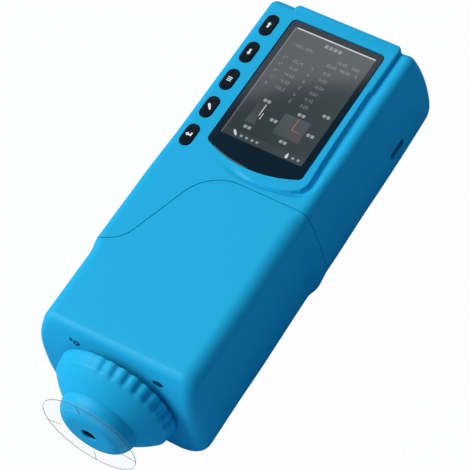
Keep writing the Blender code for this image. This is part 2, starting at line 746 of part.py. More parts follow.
def add_front_shell(blue):
    shell = hollow_body("front_shell", blue)
    combine(shell, seam_cutter("seam_front", 0), "INTERSECT")
    posts, holes = [], []
    for side in (-1, 1):
        for level in (-1, 1):
            name = f"shell_boss_{side}_{level}"
            x, z = side * CHASSIS_POST_X, level * CHASSIS_POST_Z
            posts.append(rod(name, on_axis(x, z, NOSE_LENGTH + WALL / 2),
                             on_axis(x, z, SHELL_BOSS_END), LARGE_BOSS_RADIUS, None, tools))
            holes.append(screw_hole(name + "_hole", on_axis(x, z, NOSE_LENGTH + WALL),
                                    on_axis(x, z, SHELL_BOSS_END + OVERRUN), LARGE_SHANK))
        pair = post_pair(f"arm_{side}", side * ARM_BOSS_X, ARM_BOSS_Y, FRAME_BASE - GAP,
                         LARGE_SHANK, FRAME_SCREW_LENGTH)
        posts.append(pair[0])
        holes.append(pair[1])
        pair = post_pair(f"trigger_{side}", side * TRIGGER_POST_X, TRIGGER_Y,
                         trigger_board_base() - GAP, SMALL_SHANK, SMALL_LENGTH)
        posts.append(pair[0])
        holes.append(pair[1])
    join(shell, *posts)
    cut(shell, *holes)
    cut(shell, rod("nose_hole", on_axis(0, 0, NOSE_LENGTH - OVERRUN),
                   on_axis(0, 0, NOSE_LENGTH + WALL + OVERRUN), COLLAR_RADIUS + GAP,
                   None, tools, TURN_STEPS))
    for index, (x, z) in enumerate(collar_screw_places()):
        cut(shell, screw_hole(f"collar_hole_{index}", on_axis(x, z, NOSE_LENGTH + WALL / 4),
                              on_axis(x, z, NOSE_LENGTH + WALL + OVERRUN), SMALL_SHANK))
    hole = rounded_outline(TRIGGER_WIDTH + 2 * GAP, TRIGGER_LENGTH + 2 * GAP,
                           TRIGGER_STEM_RADIUS + GAP, (0, TRIGGER_Y))
    cut(shell, outline_plate("trigger_hole", hole, -OVERRUN, WALL + OVERRUN,
                             collection=tools))
    return shell


def collar_screw_places():
    """Two screws on a slanted line through the axis, clear of the corner posts."""
    angle = math.radians(COLLAR_SCREW_ANGLE)
    x, z = COLLAR_SCREW_CIRCLE * math.cos(angle), COLLAR_SCREW_CIRCLE * math.sin(angle)
    return (x, z), (-x, -z)


def board_boss_places():
    """Four bosses beside the display module, which the main board hangs from."""
    module_left = WINDOW_CENTRE_X - WINDOW_WIDTH / 2 - MODULE_BORDER
    module_right = WINDOW_CENTRE_X + WINDOW_WIDTH / 2 + MODULE_BORDER
    step = BOARD_BOSS_RADIUS + GAP
    rear_y = MAIN_BOARD_REAR_Y - 2 * step
    front_y = MAIN_BOARD_FRONT_Y + step
    return ((module_left - step, rear_y), (module_right + step, rear_y),
            (module_left + step, front_y), (module_right - step, front_y))


def frame_boss_places():
    return [(side * FRAME_BOSS_X, y) for side in (-1, 1)
            for y in (DOOR_FRONT_Y + FRAME_BOSS_INSET, DOOR_REAR_Y - FRAME_BOSS_INSET)]


def frame_screw_places():
    return frame_boss_places() + [(side * ARM_BOSS_X, ARM_BOSS_Y) for side in (-1, 1)]


def key_places():
    return [(name, KEY_FIRST_Y + KEY_PITCH * index) for index, name in enumerate(KEY_NAMES)]


def add_rear_housing(blue):
    shell = hollow_body("rear_housing", blue)
    cut(shell, seam_cutter("seam_rear", GAP))
    overhang = rounded_outline(PLATFORM_RIGHT_X - PLATFORM_LEFT_X, PLATFORM_HEIGHT,
                               REAR_FILLET, ((PLATFORM_RIGHT_X + PLATFORM_LEFT_X) / 2,
                                             PLATFORM_REAR_Y - PLATFORM_HEIGHT / 2))
    join(shell, outline_plate("platform", overhang, INNER_TOP + GAP, BODY_HEIGHT,
                              collection=tools))
    join(shell, block("platform_foot", (PLATFORM_LEFT_X + REAR_FILLET, REAR_Y - REAR_BULGE,
                                        BODY_HEIGHT - PLATFORM_HEIGHT),
                      (PLATFORM_RIGHT_X - REAR_FILLET, PLATFORM_REAR_Y - GAP / 2,
                       BODY_HEIGHT - WALL / 2), None, tools))
    posts, holes = [], []
    for index, (x, y) in enumerate(board_boss_places()):
        posts.append(rod(f"board_boss_{index}", (x, y, BOARD_TOP + GAP),
                         (x, y, INNER_TOP + WALL / 4), BOARD_BOSS_RADIUS, None, tools))
        holes.append(screw_hole(f"board_boss_hole_{index}", (x, y, BOARD_TOP),
                                (x, y, INNER_TOP), SMALL_SHANK))
    for index, (x, y) in enumerate(frame_boss_places()):
        pair = post_pair(f"frame_{index}", x, y, FRAME_BASE - GAP, LARGE_SHANK,
                         FRAME_SCREW_LENGTH)
        posts.append(pair[0])
        holes.append(pair[1])
    join(shell, *posts)
    cut(shell, *holes)
    cut(shell, groove_cutter())
    cut(shell, outline_plate("glass_pocket", glass_outline(GAP), BODY_HEIGHT - GLASS_POCKET,
                             BODY_HEIGHT + OVERRUN, collection=tools))
    cut(shell, block("window", (WINDOW_CENTRE_X - WINDOW_WIDTH / 2,
                                WINDOW_CENTRE_Y - WINDOW_LENGTH / 2, INNER_TOP - OVERRUN),
                     (WINDOW_CENTRE_X + WINDOW_WIDTH / 2, WINDOW_CENTRE_Y + WINDOW_LENGTH / 2,
                      BODY_HEIGHT), None, tools))
    for name, y in key_places():
        hole = rounded_outline(KEY_WIDTH + 2 * GAP, KEY_LENGTH + 2 * GAP,
                               (KEY_WIDTH / 2 + GAP) * KEY_END_SHARE, (KEY_X, y))
        cut(shell, outline_plate(name + "_hole", hole, INNER_TOP - OVERRUN,
                                 BODY_HEIGHT + OVERRUN, collection=tools))
    cut_door_opening(shell)
    cut_switch_slot(shell)
    cut_port_opening(shell)
    return shell


def door_axis():
    """Height and place of the door's hinge line."""
    return DOOR_FRONT_Y + DOOR_THICKNESS / 2, GAP + DOOR_THICKNESS / 2


def cut_door_opening(shell):
    half = DOOR_WIDTH / 2 + GAP
    cut(shell, block("door_opening", (-half, DOOR_FRONT_Y - GAP, -OVERRUN),
                     (half, DOOR_REAR_Y + GAP, WALL + DOOR_THICKNESS), None, tools))


def switch_wall():
    """Outer and inner face of the right-hand wall at the power switch."""
    outer = right_side(SWITCH_Y)
    return outer, outer - WALL


def cut_switch_slot(shell):
    outer, inner = switch_wall()
    cut(shell, block("switch_slot", (inner - OVERRUN, SWITCH_Y - SLOT_LENGTH / 2,
                                     SWITCH_Z - SLOT_HEIGHT / 2),
                     (outer + OVERRUN, SWITCH_Y + SLOT_LENGTH / 2,
                      SWITCH_Z + SLOT_HEIGHT / 2), None, tools))


def port_planes():
    """Outer face of the rubber cover, floor of its pocket and inner face of the wall."""
    outer = left_side(PORT_Y + PORT_POCKET_LENGTH / 2)
    return -outer, -outer + COVER_THICKNESS + GAP, -outer + WALL


def socket_base():
    return PORT_Z - USB_HEIGHT / 2


def charge_centre():
    return socket_base() + CHARGE_HEIGHT / 2


def cut_port_opening(shell):
    outer, floor, inner = port_planes()
    half_length, half_height = PORT_POCKET_LENGTH / 2, PORT_POCKET_HEIGHT / 2
    cut(shell, block("port_pocket", (-REAR_HALF_WIDTH - OVERRUN, PORT_Y - half_length,
                                     PORT_Z - half_height),
                     (floor, PORT_Y + half_length, PORT_Z + half_height), None, tools))
    usb_y, charge_y = PORT_Y - SOCKET_OFFSET, PORT_Y + SOCKET_OFFSET
    cut(shell, block("usb_hole", (floor - OVERRUN, usb_y - USB_WIDTH / 2 - GAP,
                                  socket_base() - GAP),
                     (inner + OVERRUN, usb_y + USB_WIDTH / 2 + GAP,
                      socket_base() + USB_HEIGHT + GAP), None, tools))
    cut(shell, block("charge_hole", (floor - OVERRUN, charge_y - CHARGE_WIDTH / 2 - GAP,
                                     socket_base() - GAP),
                     (inner + OVERRUN, charge_y + CHARGE_WIDTH / 2 + GAP,
                      socket_base() + CHARGE_HEIGHT + GAP), None, tools))


def add_display(gloss, moulding):
    base = BODY_HEIGHT - GLASS_RECESS - GLASS_THICKNESS
    outline_plate("display_glass", glass_outline(0), base, base + GLASS_THICKNESS, gloss)
    half_width_x = WINDOW_WIDTH / 2 + MODULE_BORDER
    half_length_y = WINDOW_LENGTH / 2 + MODULE_BORDER
    block("display_module",
          (WINDOW_CENTRE_X - half_width_x, WINDOW_CENTRE_Y - half_length_y, MODULE_BASE),
          (WINDOW_CENTRE_X + half_width_x, WINDOW_CENTRE_Y + half_length_y,
           INNER_TOP - GAP), moulding)


def add_keys(gloss, rubber):
    """Obround caps on a flange that stops them under the wall."""
    for name, y in key_places():
        cap = rounded_outline(KEY_WIDTH, KEY_LENGTH, KEY_WIDTH / 2 * KEY_END_SHARE, (KEY_X, y))
        flange = rounded_outline(KEY_WIDTH + 2 * KEY_FLANGE_RIM, KEY_LENGTH + 2 * KEY_FLANGE_RIM,
                                 KEY_WIDTH / 2, (KEY_X, y))
        flange_top = INNER_TOP - GAP
        key = outline_plate(name, cap, flange_top - KEY_FLANGE / 2, BODY_HEIGHT + KEY_PROUD,
                            gloss)
        join(key, outline_plate(name + "_flange", flange, flange_top - KEY_FLANGE, flange_top,
                                collection=tools))
    thickness = MODULE_THICKNESS - KEY_FLANGE - KEY_TRAVEL - GAP
    half_x = KEY_WIDTH / 2 + MEMBRANE_RIM
    rim_y = KEY_LENGTH / 2 + MEMBRANE_RIM / 2
    block("key_membrane", (KEY_X - half_x, KEY_FIRST_Y - rim_y, MODULE_BASE),
          (KEY_X + half_x, key_places()[-1][1] + rim_y, MODULE_BASE + thickness), rubber)


def add_main_board(green, moulding):
    board = block("main_board", (MAIN_BOARD_LEFT_X, MAIN_BOARD_FRONT_Y, BOARD_BASE),
                  (MAIN_BOARD_RIGHT_X, MAIN_BOARD_REAR_Y, BOARD_TOP), green)
    for index, (x, y) in enumerate(board_boss_places()):
        cut(board, screw_hole(f"board_hole_{index}", (x, y, BOARD_BASE - OVERRUN),
                              (x, y, BOARD_TOP + OVERRUN), SMALL_SHANK))
    top = BOARD_BASE - GAP
    chip_x = (MAIN_BOARD_LEFT_X + MAIN_BOARD_RIGHT_X) / 2
    chip_y = (MAIN_BOARD_FRONT_Y + MAIN_BOARD_REAR_Y) / 2
    half = CHIP_SIZE / 2
    block("processor", (chip_x - half, chip_y - half, top - CHIP_HEIGHT),
          (chip_x + half, chip_y + half, top), moulding)
    x = MAIN_BOARD_RIGHT_X - BUZZER_RADIUS - GAP
    y = MAIN_BOARD_REAR_Y - 3 * BUZZER_RADIUS
    rod("buzzer", (x, y, top - BUZZER_HEIGHT), (x, y, top), BUZZER_RADIUS, moulding,
        sides=FINE_TURN_STEPS)


def add_power_switch(moulding, rubber):
    outer, inner = switch_wall()
    back = inner - GAP - EAR_THICKNESS - SWITCH_DEPTH
    front = back + SWITCH_DEPTH
    half = SWITCH_LENGTH / 2
    low, high = SWITCH_Z - SWITCH_HEIGHT / 2, SWITCH_Z + SWITCH_HEIGHT / 2
    body = block("power_switch", (back, SWITCH_Y - half, low), (front, SWITCH_Y + half, high),
                 moulding)
    for side in (-1, 1):
        near = SWITCH_Y + side * (SLOT_LENGTH / 2 + GAP)
        far = SWITCH_Y + side * (half + EAR_LENGTH)
        join(body, block(f"switch_ear_{side}", (front - EAR_THICKNESS / 2, min(near, far), low),
                         (inner - GAP, max(near, far), high), None, tools))
    rest_y = SWITCH_Y + SLOT_LENGTH / 2 - GAP - SLIDER_LENGTH / 2
    half_height = SLOT_HEIGHT / 2 - GAP
    block("power_slider", (front + GAP, rest_y - SLIDER_LENGTH / 2, SWITCH_Z - half_height),
          (outer - SLIDER_RECESS, rest_y + SLIDER_LENGTH / 2, SWITCH_Z + half_height), rubber)


def add_ports(green, metal, moulding, rubber):
    outer, floor, inner = port_planes()
    base, top = socket_base(), socket_base() + USB_HEIGHT
    usb_y, charge_y = PORT_Y - SOCKET_OFFSET, PORT_Y + SOCKET_OFFSET
    usb = block("usb_socket", (floor, usb_y - USB_WIDTH / 2, base),
                (floor + USB_LENGTH, usb_y + USB_WIDTH / 2, top), metal)
    cut(usb, block("usb_mouth", (floor - OVERRUN, usb_y - USB_WIDTH / 2 + USB_SHELL,
                                 base + USB_SHELL),
                   (floor + USB_LENGTH - USB_SHELL, usb_y + USB_WIDTH / 2 - USB_SHELL,
                    top - USB_SHELL), None, tools))
    charge = block("charge_socket", (floor, charge_y - CHARGE_WIDTH / 2, base),
                   (floor + USB_LENGTH, charge_y + CHARGE_WIDTH / 2, base + CHARGE_HEIGHT),
                   moulding)
    cut(charge, rod("charge_bore", (floor - OVERRUN, charge_y, charge_centre()),
                    (floor + USB_LENGTH - CHARGE_BORE, charge_y, charge_centre()),
                    CHARGE_BORE, None, tools))
    board_top = base - GAP
    board = block("port_board", (inner + GAP, PORT_Y - PORT_BOARD_LENGTH / 2,
                                 board_top - BOARD_THICKNESS),
                  (inner + GAP + PORT_BOARD_DEPTH, PORT_Y + PORT_BOARD_LENGTH / 2, board_top),
                  green)
    for index, (x, y) in enumerate(port_post_places()):
        cut(board, rod(f"port_board_hole_{index}", (x, y, board_top - BOARD_THICKNESS - OVERRUN),
                       (x, y, board_top + OVERRUN), STAKE_RADIUS + GAP, None, tools,
                       SCREW_SIDES))
    half_length = PORT_POCKET_LENGTH / 2 - GAP
    x, z = port_hinge()
    cover = rod("port_cover", (x, PORT_Y - half_length, z), (x, PORT_Y + half_length, z),
                COVER_THICKNESS / 2, rubber)
    join(cover, block("port_cover_flap", (outer, PORT_Y - half_length, z),
                      (outer + COVER_THICKNESS, PORT_Y + half_length,
                       PORT_Z + PORT_POCKET_HEIGHT / 2 - GAP), None, tools))


def port_hinge():
    """The fold line along the cover's lower edge."""
    outer, floor, inner = port_planes()
    return (outer + COVER_THICKNESS / 2,
            PORT_Z - PORT_POCKET_HEIGHT / 2 + GAP + COVER_THICKNESS / 2)


def port_post_places():
    outer, floor, inner = port_planes()
    x = inner + GAP + PORT_BOARD_DEPTH - PORT_POST_INSET
    half = PORT_BOARD_LENGTH / 2 - PORT_POST_INSET
    return (x, PORT_Y - half), (x, PORT_Y + half)


def frame_outline():
    """A wide rear plate with two arms that reach forward on both sides of the optics."""
    right = [(ARM_INNER_X, FRAME_FRONT_Y), (ARM_INNER_X, ARM_FRONT_Y),
             (ARM_OUTER_X, ARM_FRONT_Y), (ARM_OUTER_X, FRAME_FRONT_Y + FRAME_THICKNESS),
             (FRAME_HALF_WIDTH, FRAME_FRONT_Y + 2 * FRAME_THICKNESS),
             (FRAME_HALF_WIDTH, FRAME_REAR_Y)]
    left = [(-x, y) for x, y in reversed(right)]
    return right + left


def add_inner_frame(moulding):
    frame = outline_plate("inner_frame", frame_outline(), FRAME_BASE, FRAME_TOP, moulding)
    middle = (0, BATTERY_CENTRE_Y)
    outer = rounded_outline(BATTERY_WIDTH + 2 * (GAP + BAY_WALL),
                            BATTERY_LENGTH + 2 * (GAP + BAY_WALL), BAY_WALL, middle, 2)
    inner = rounded_outline(BATTERY_WIDTH + 2 * GAP, BATTERY_LENGTH + 2 * GAP, GAP, middle, 1)
    join(frame, outline_plate("bay_outside", outer, DOOR_TOP + GAP,
                              FRAME_BASE + FRAME_THICKNESS / 2, collection=tools))
    post_top = socket_base() - 2 * GAP - BOARD_THICKNESS
    for index, (x, y) in enumerate(port_post_places()):
        join(frame, rod(f"port_post_{index}", (x, y, FRAME_TOP - FRAME_THICKNESS / 2),
                        (x, y, post_top), BOARD_BOSS_RADIUS, None, tools),
             rod(f"port_stake_{index}", (x, y, FRAME_TOP), (x, y, socket_base() + STAKE_RISE),
                 STAKE_RADIUS, None, tools, SCREW_SIDES))
    cut(frame, outline_plate("bay_inside", inner, DOOR_TOP, FRAME_BASE, collection=tools))
    for index, (x, y) in enumerate(frame_screw_places()):
        cut(frame, screw_hole(f"frame_hole_{index}", (x, y, FRAME_BASE - OVERRUN),
                              (x, y, FRAME_TOP + OVERRUN), LARGE_SHANK))


def add_battery(wrap, metal):
    outline = rounded_outline(BATTERY_WIDTH, BATTERY_LENGTH, BATTERY_ROUNDING,
                              (0, BATTERY_CENTRE_Y), 3)
    pack = outline_plate("battery_pack", outline, DOOR_TOP + GAP, BATTERY_TOP, wrap)
    half = CONNECTOR_WIDTH / 2
    front = BATTERY_FRONT_Y
    cut(pack, block("connector_pocket", (-half - GAP, front - OVERRUN,
                                         BATTERY_TOP - CONNECTOR_HEIGHT - GAP),
                    (half + GAP, front + CONNECTOR_DEPTH + GAP, BATTERY_TOP + OVERRUN),
                    None, tools))
    block("battery_connector", (-half, front, BATTERY_TOP - CONNECTOR_HEIGHT),
          (half, front + CONNECTOR_DEPTH, BATTERY_TOP), metal)


def add_battery_door(blue):
    """A plate with a round edge, on which it turns down out of the lower wall."""
    y, z = door_axis()
    half = DOOR_WIDTH / 2
    door = rod("battery_door", (-half, y, z), (half, y, z), DOOR_THICKNESS / 2, blue)
    join(door, block("door_plate", (-half, y, GAP), (half, DOOR_REAR_Y, DOOR_TOP), None, tools))


def trigger_flange_base():
    return WALL + GAP


def trigger_board_base():
    """Above the pressed trigger, its clearance and the small push switch."""
    stem_top = trigger_flange_base() + TRIGGER_FLANGE + TRIGGER_STEM_HEIGHT
    return stem_top + TRIGGER_TRAVEL + GAP + TACT_HEIGHT + GAP


def add_trigger(blue, moulding, green):
    base = trigger_flange_base()
    cap = rounded_outline(TRIGGER_WIDTH, TRIGGER_LENGTH, TRIGGER_STEM_RADIUS, (0, TRIGGER_Y))
    rim = 2 * TRIGGER_FLANGE_RIM
    flange = rounded_outline(TRIGGER_WIDTH + rim, TRIGGER_LENGTH + rim, TRIGGER_STEM_RADIUS,
                             (0, TRIGGER_Y))
    button = outline_plate("trigger_button", cap, TRIGGER_RISE, base + TRIGGER_FLANGE / 2, blue)
    join(button, outline_plate("trigger_flange", flange, base, base + TRIGGER_FLANGE,
                               collection=tools))
    stem_top = base + TRIGGER_FLANGE + TRIGGER_STEM_HEIGHT
    join(button, rod("trigger_stem", (0, TRIGGER_Y, base + TRIGGER_FLANGE / 2),
                     (0, TRIGGER_Y, stem_top), TRIGGER_STEM_RADIUS, None, tools))
    board_base = trigger_board_base()
    half = TACT_SIZE / 2
    block("trigger_switch", (-half, TRIGGER_Y - half, board_base - GAP - TACT_HEIGHT),
          (half, TRIGGER_Y + half, board_base - GAP), moulding)
    board = block("trigger_board",
                  (-TRIGGER_BOARD_WIDTH / 2, TRIGGER_Y - TRIGGER_BOARD_LENGTH / 2, board_base),
                  (TRIGGER_BOARD_WIDTH / 2, TRIGGER_Y + TRIGGER_BOARD_LENGTH / 2,
                   board_base + BOARD_THICKNESS), green)
    for side in (-1, 1):
        x = side * TRIGGER_POST_X
        cut(board, screw_hole(f"trigger_board_hole_{side}", (x, TRIGGER_Y, board_base - OVERRUN),
                              (x, TRIGGER_Y, board_base + BOARD_THICKNESS + OVERRUN),
                              SMALL_SHANK))


def add_nose(blue, moulding, clear, rubber):
    rise = CAP_RADIUS - CAP_SHOULDER_RADIUS
    reach = CAP_LENGTH - TIP_STEP
    dome = [(CAP_SHOULDER_RADIUS + rise * r_share, TIP_STEP + reach * d_share)
            for r_share, d_share in DOME_SHARES]
    turned("nose_cap", [(TIP_RADIUS, 0), (TIP_RADIUS, TIP_STEP), (CAP_SHOULDER_RADIUS, TIP_STEP)]
           + dome + [(CAP_RADIUS, CAP_LENGTH), (CAP_SPIGOT_RADIUS, CAP_LENGTH),
                     (CAP_SPIGOT_RADIUS, CAP_SPIGOT_END), (CAP_SPIGOT_BORE, CAP_SPIGOT_END),
                     (CAP_SPIGOT_BORE, TUBE_FRONT - GAP), (APERTURE_RADIUS, TUBE_FRONT - GAP),
                     (APERTURE_RADIUS, 0)], blue)
    plate_back = TIP_STEP - GAP
    turned("locating_plate", [(PLATE_RADIUS, plate_back - PLATE_THICKNESS),
                              (PLATE_RADIUS, plate_back), (TIP_RADIUS + GAP, plate_back),
                              (TIP_RADIUS + GAP, plate_back - PLATE_THICKNESS)], clear)
    front = CAP_LENGTH + GAP
    shoulder = COLLAR_FRONT - GAP
    cone = turned("nose_cone", [(CONE_FRONT_RADIUS, front), (CONE_RADIUS, CONE_END),
                                (CONE_RADIUS, RING_BACK), (COLLAR_RADIUS + GAP, RING_BACK),
                                (COLLAR_RADIUS + GAP, shoulder),
                                (CAP_SPIGOT_RADIUS + GAP, shoulder),
                                (CAP_SPIGOT_RADIUS + GAP, front)], blue, steps=RIBS * 2)
    join(cone, ribbed_ring())
    turned("nose_collar", [(COLLAR_RADIUS, COLLAR_FRONT), (COLLAR_RADIUS, FLANGE_FRONT),
                           (COLLAR_FLANGE_RADIUS, FLANGE_FRONT),
                           (COLLAR_FLANGE_RADIUS, FLANGE_FRONT + COLLAR_FLANGE),
                           (COLLAR_BORE, FLANGE_FRONT + COLLAR_FLANGE),
                           (COLLAR_BORE, COLLAR_FRONT)], moulding)
    collar = bpy.data.objects["nose_collar"]
    ceiling = INNER_TOP - 3 * GAP - AXIS_HEIGHT
    cut(collar, block("collar_flat", on_axis(-COLLAR_FLANGE_RADIUS, ceiling, FLANGE_FRONT - GAP),
                      on_axis(COLLAR_FLANGE_RADIUS, COLLAR_FLANGE_RADIUS + OVERRUN,
                              FLANGE_FRONT + COLLAR_FLANGE + OVERRUN), None, tools))
    for index, (x, z) in enumerate(collar_screw_places()):
        cut(collar, screw_hole(f"flange_hole_{index}", on_axis(x, z, FLANGE_FRONT - OVERRUN),
                               on_axis(x, z, FLANGE_FRONT + COLLAR_FLANGE + OVERRUN),
                               SMALL_SHANK))
    seal_front = (RING_BACK + NOSE_LENGTH - SEAL_THICKNESS) / 2
    turned("light_seal", [(SEAL_RADIUS, seal_front), (SEAL_RADIUS, seal_front + SEAL_THICKNESS),
                          (COLLAR_RADIUS + GAP, seal_front + SEAL_THICKNESS),
                          (COLLAR_RADIUS + GAP, seal_front)], rubber)


def ribbed_ring():
    """A ring of straight ribs, one crest and one root to each."""
    shape = bmesh.new()
    inner = (COLLAR_RADIUS + GAP + CONE_RADIUS) / 2
    front, back = CONE_END + GAP, RING_BACK
    rows = []
    for depth in (front, back):
        for crest, root in ((RING_CREST, RING_ROOT - GAP), (inner, inner)):
            row = []
            for step in range(RIBS * 2):
                angle = math.radians(360) * (step + 0.5) / (RIBS * 2)
                radius = root if step % 2 else crest
                row.append(shape.verts.new((radius * math.cos(angle), radius * math.sin(angle),
                                            -depth)))
            rows.append(row)
    front_outer, front_inner, back_outer, back_inner = rows
    for index in range(RIBS * 2):
        after = (index + 1) % (RIBS * 2)
        for one, other in ((front_outer, back_outer), (back_outer, back_inner),
                           (back_inner, front_inner), (front_inner, front_outer)):
            shape.faces.new((one[index], one[after], other[after], other[index]))
    ring = place("ribbed_ring", mesh_from("ribbed_ring", shape), None,
                 (0, TIP_Y, AXIS_HEIGHT), tools)
    ring.rotation_euler = (math.radians(90), 0, 0)
    return ring


def sphere_profile(sign, neck_radius, port_radius):
    """One half of the integrating sphere: sign is -1 towards the nose, 1 towards the rear."""
    neck_end = SPHERE_DEPTH + sign * (SPHERE_RADIUS + SPHERE_NECK_RISE)
    flange_near = SPHERE_DEPTH + sign * GAP / 2
    flange_far = flange_near + sign * SPHERE_FLANGE
    first = math.asin(SPHERE_FLANGE / SPHERE_RADIUS * SPHERE_SHOULDER_SHARE)
    last = math.acos(neck_radius / SPHERE_RADIUS)
    outer = []
    for step in range(SPHERE_RINGS):
        angle = first + (last - first) * step / (SPHERE_RINGS - 1)
        outer.append((SPHERE_RADIUS * math.cos(angle),
                      SPHERE_DEPTH + sign * SPHERE_RADIUS * math.sin(angle)))
    first = math.asin(GAP / 2 / SPHERE_BORE)
    last = math.acos(port_radius / SPHERE_BORE)
    inner = []
    for step in range(SPHERE_RINGS):
        angle = last + (first - last) * step / (SPHERE_RINGS - 1)
        inner.append((SPHERE_BORE * math.cos(angle),
                      SPHERE_DEPTH + sign * SPHERE_BORE * math.sin(angle)))
    profile = [(SPHERE_FLANGE_RADIUS, flange_near), (SPHERE_FLANGE_RADIUS, flange_far),
               (outer[0][0], flange_far)]
    profile += outer[1:] + [(neck_radius, neck_end), (port_radius, neck_end)] + inner
    return profile if sign > 0 else profile[::-1]


def add_sphere(white):
    turned("sphere_front", sphere_profile(-1, SPHERE_NECK_RADIUS, TUBE_BORE), white, steps=FINE_TURN_STEPS)
    turned("sphere_rear", sphere_profile(1, SENSOR_NECK_RADIUS, SENSOR_TUBE_BORE), white,
           steps=FINE_TURN_STEPS)


def add_light_source(green, moulding):
    neck = SPHERE_NECK_RADIUS + GAP
    front = SPHERE_NECK_FRONT + BOARD_THICKNESS
    back = front + BOARD_THICKNESS
    board = turned("led_board", [(LED_BOARD_RADIUS, front), (LED_BOARD_RADIUS, back),
                                 (neck, back), (neck, front)], green, steps=FINE_TURN_STEPS)
    for index in range(LED_COUNT):
        angle = math.radians(360) * index / LED_COUNT
        x, z = LED_CIRCLE * math.cos(angle), LED_CIRCLE * math.sin(angle)
        join(board, rod(f"lamp_{index}", on_axis(x, z, back - BOARD_THICKNESS / 2),
                        on_axis(x, z, back + LED_HEIGHT), LED_RADIUS, None, tools,
                        SCREW_SIDES))
    flange_back = SPHERE_NECK_FRONT - GAP
    flange_front = flange_back - TUBE_FLANGE
    turned("aperture_tube", [(TUBE_RADIUS, TUBE_FRONT), (TUBE_RADIUS, flange_front),
                             (COLLAR_BORE - GAP, flange_front), (COLLAR_BORE - GAP, flange_back),
                             (TUBE_BORE, flange_back), (TUBE_BORE, TUBE_FRONT)], moulding,
           steps=FINE_TURN_STEPS)


def add_chassis(alloy):
    chassis = block("optical_chassis", on_axis(-CHASSIS_HALF_WIDTH, -CHASSIS_HALF_HEIGHT,
                                               CHASSIS_FRONT),
                    on_axis(CHASSIS_HALF_WIDTH, CHASSIS_HALF_HEIGHT, CHASSIS_BACK), alloy)
    middle = CHASSIS_FRONT + CHASSIS_THICKNESS / 2
    cut(chassis, rod("sphere_seat", on_axis(0, 0, CHASSIS_FRONT - OVERRUN),
                     on_axis(0, 0, CHASSIS_BACK + OVERRUN), SPHERE_RADIUS + GAP, None, tools,
                     TURN_STEPS))
    for index, (x, z) in enumerate(chassis_post_places()):
        join(chassis, rod(f"chassis_post_{index}", on_axis(x, z, SHELL_BOSS_END + GAP),
                          on_axis(x, z, middle), LARGE_BOSS_RADIUS, None, tools))
    for side in (-1, 1):
        x = side * SENSOR_PILLAR_X
        pillar_end = SENSOR_BOARD_FRONT - GAP
        join(chassis, rod(f"sensor_pillar_{side}", on_axis(x, 0, middle),
                          on_axis(x, 0, pillar_end), SENSOR_PILLAR_RADIUS, None, tools))
        cut(chassis, screw_hole(f"pillar_hole_{side}", on_axis(x, 0, pillar_end - SMALL_LENGTH),
                                on_axis(x, 0, pillar_end + OVERRUN), SMALL_SHANK))
    for index, (x, z) in enumerate(chassis_post_places()):
        cut(chassis, screw_hole(f"chassis_hole_{index}", on_axis(x, z, SHELL_BOSS_END - OVERRUN),
                                on_axis(x, z, CHASSIS_BACK + OVERRUN), LARGE_SHANK))


def chassis_post_places():
    return [(side * CHASSIS_POST_X, level * CHASSIS_POST_Z) for side in (-1, 1)
            for level in (-1, 1)]


def add_sensor(green, moulding, metal):
    tube_back = SENSOR_TUBE_FRONT + SENSOR_TUBE_LENGTH
    turned("sensor_tube", [(SENSOR_TUBE_RADIUS, SENSOR_TUBE_FRONT),
                           (SENSOR_TUBE_RADIUS, tube_back), (SENSOR_TUBE_BORE, tube_back),
                           (SENSOR_TUBE_BORE, SENSOR_TUBE_FRONT)], moulding, steps=FINE_TURN_STEPS)
    half_x, half_z = SENSOR_BOARD_WIDTH / 2, SENSOR_BOARD_HEIGHT / 2
    board = block("sensor_board", on_axis(-half_x, -half_z, SENSOR_BOARD_FRONT),
                  on_axis(half_x, half_z, SENSOR_BOARD_FRONT + BOARD_THICKNESS), green)
    for side in (-1, 1):
        x = side * SENSOR_PILLAR_X
        cut(board, screw_hole(f"sensor_board_hole_{side}",
                              on_axis(x, 0, SENSOR_BOARD_FRONT - OVERRUN),
                              on_axis(x, 0, SENSOR_BOARD_FRONT + BOARD_THICKNESS + OVERRUN),
                              SMALL_SHANK))
    half = DETECTOR_SIZE / 2
    block("light_sensor", on_axis(-half, -half, SENSOR_BOARD_FRONT - GAP - DETECTOR_THICKNESS),
          on_axis(half, half, SENSOR_BOARD_FRONT - GAP), metal)


def screw(name, seat, direction, shank, length, metal):
    """A cap screw from the seat under its head, pointing along a direction."""
    head, head_height = ((LARGE_HEAD, LARGE_HEAD_HEIGHT) if shank == LARGE_SHANK
                         else (SMALL_HEAD, SMALL_HEAD_HEIGHT))
    seat, direction = Vector(seat), Vector(direction)
    item = rod(name, seat - direction * head_height, seat, head, metal, sides=SCREW_SIDES)
    join(item, rod(name + "_shank", seat - direction * head_height / 2,
                   seat + direction * length, shank, None, tools, SCREW_SIDES))


def screws(name, seats, direction, shank, length, metal):
    """Identical screws that point the same way, numbered from one."""
    for index, seat in enumerate(seats):
        screw(f"{name}_{index + 1}", seat, direction, shank, length, metal)


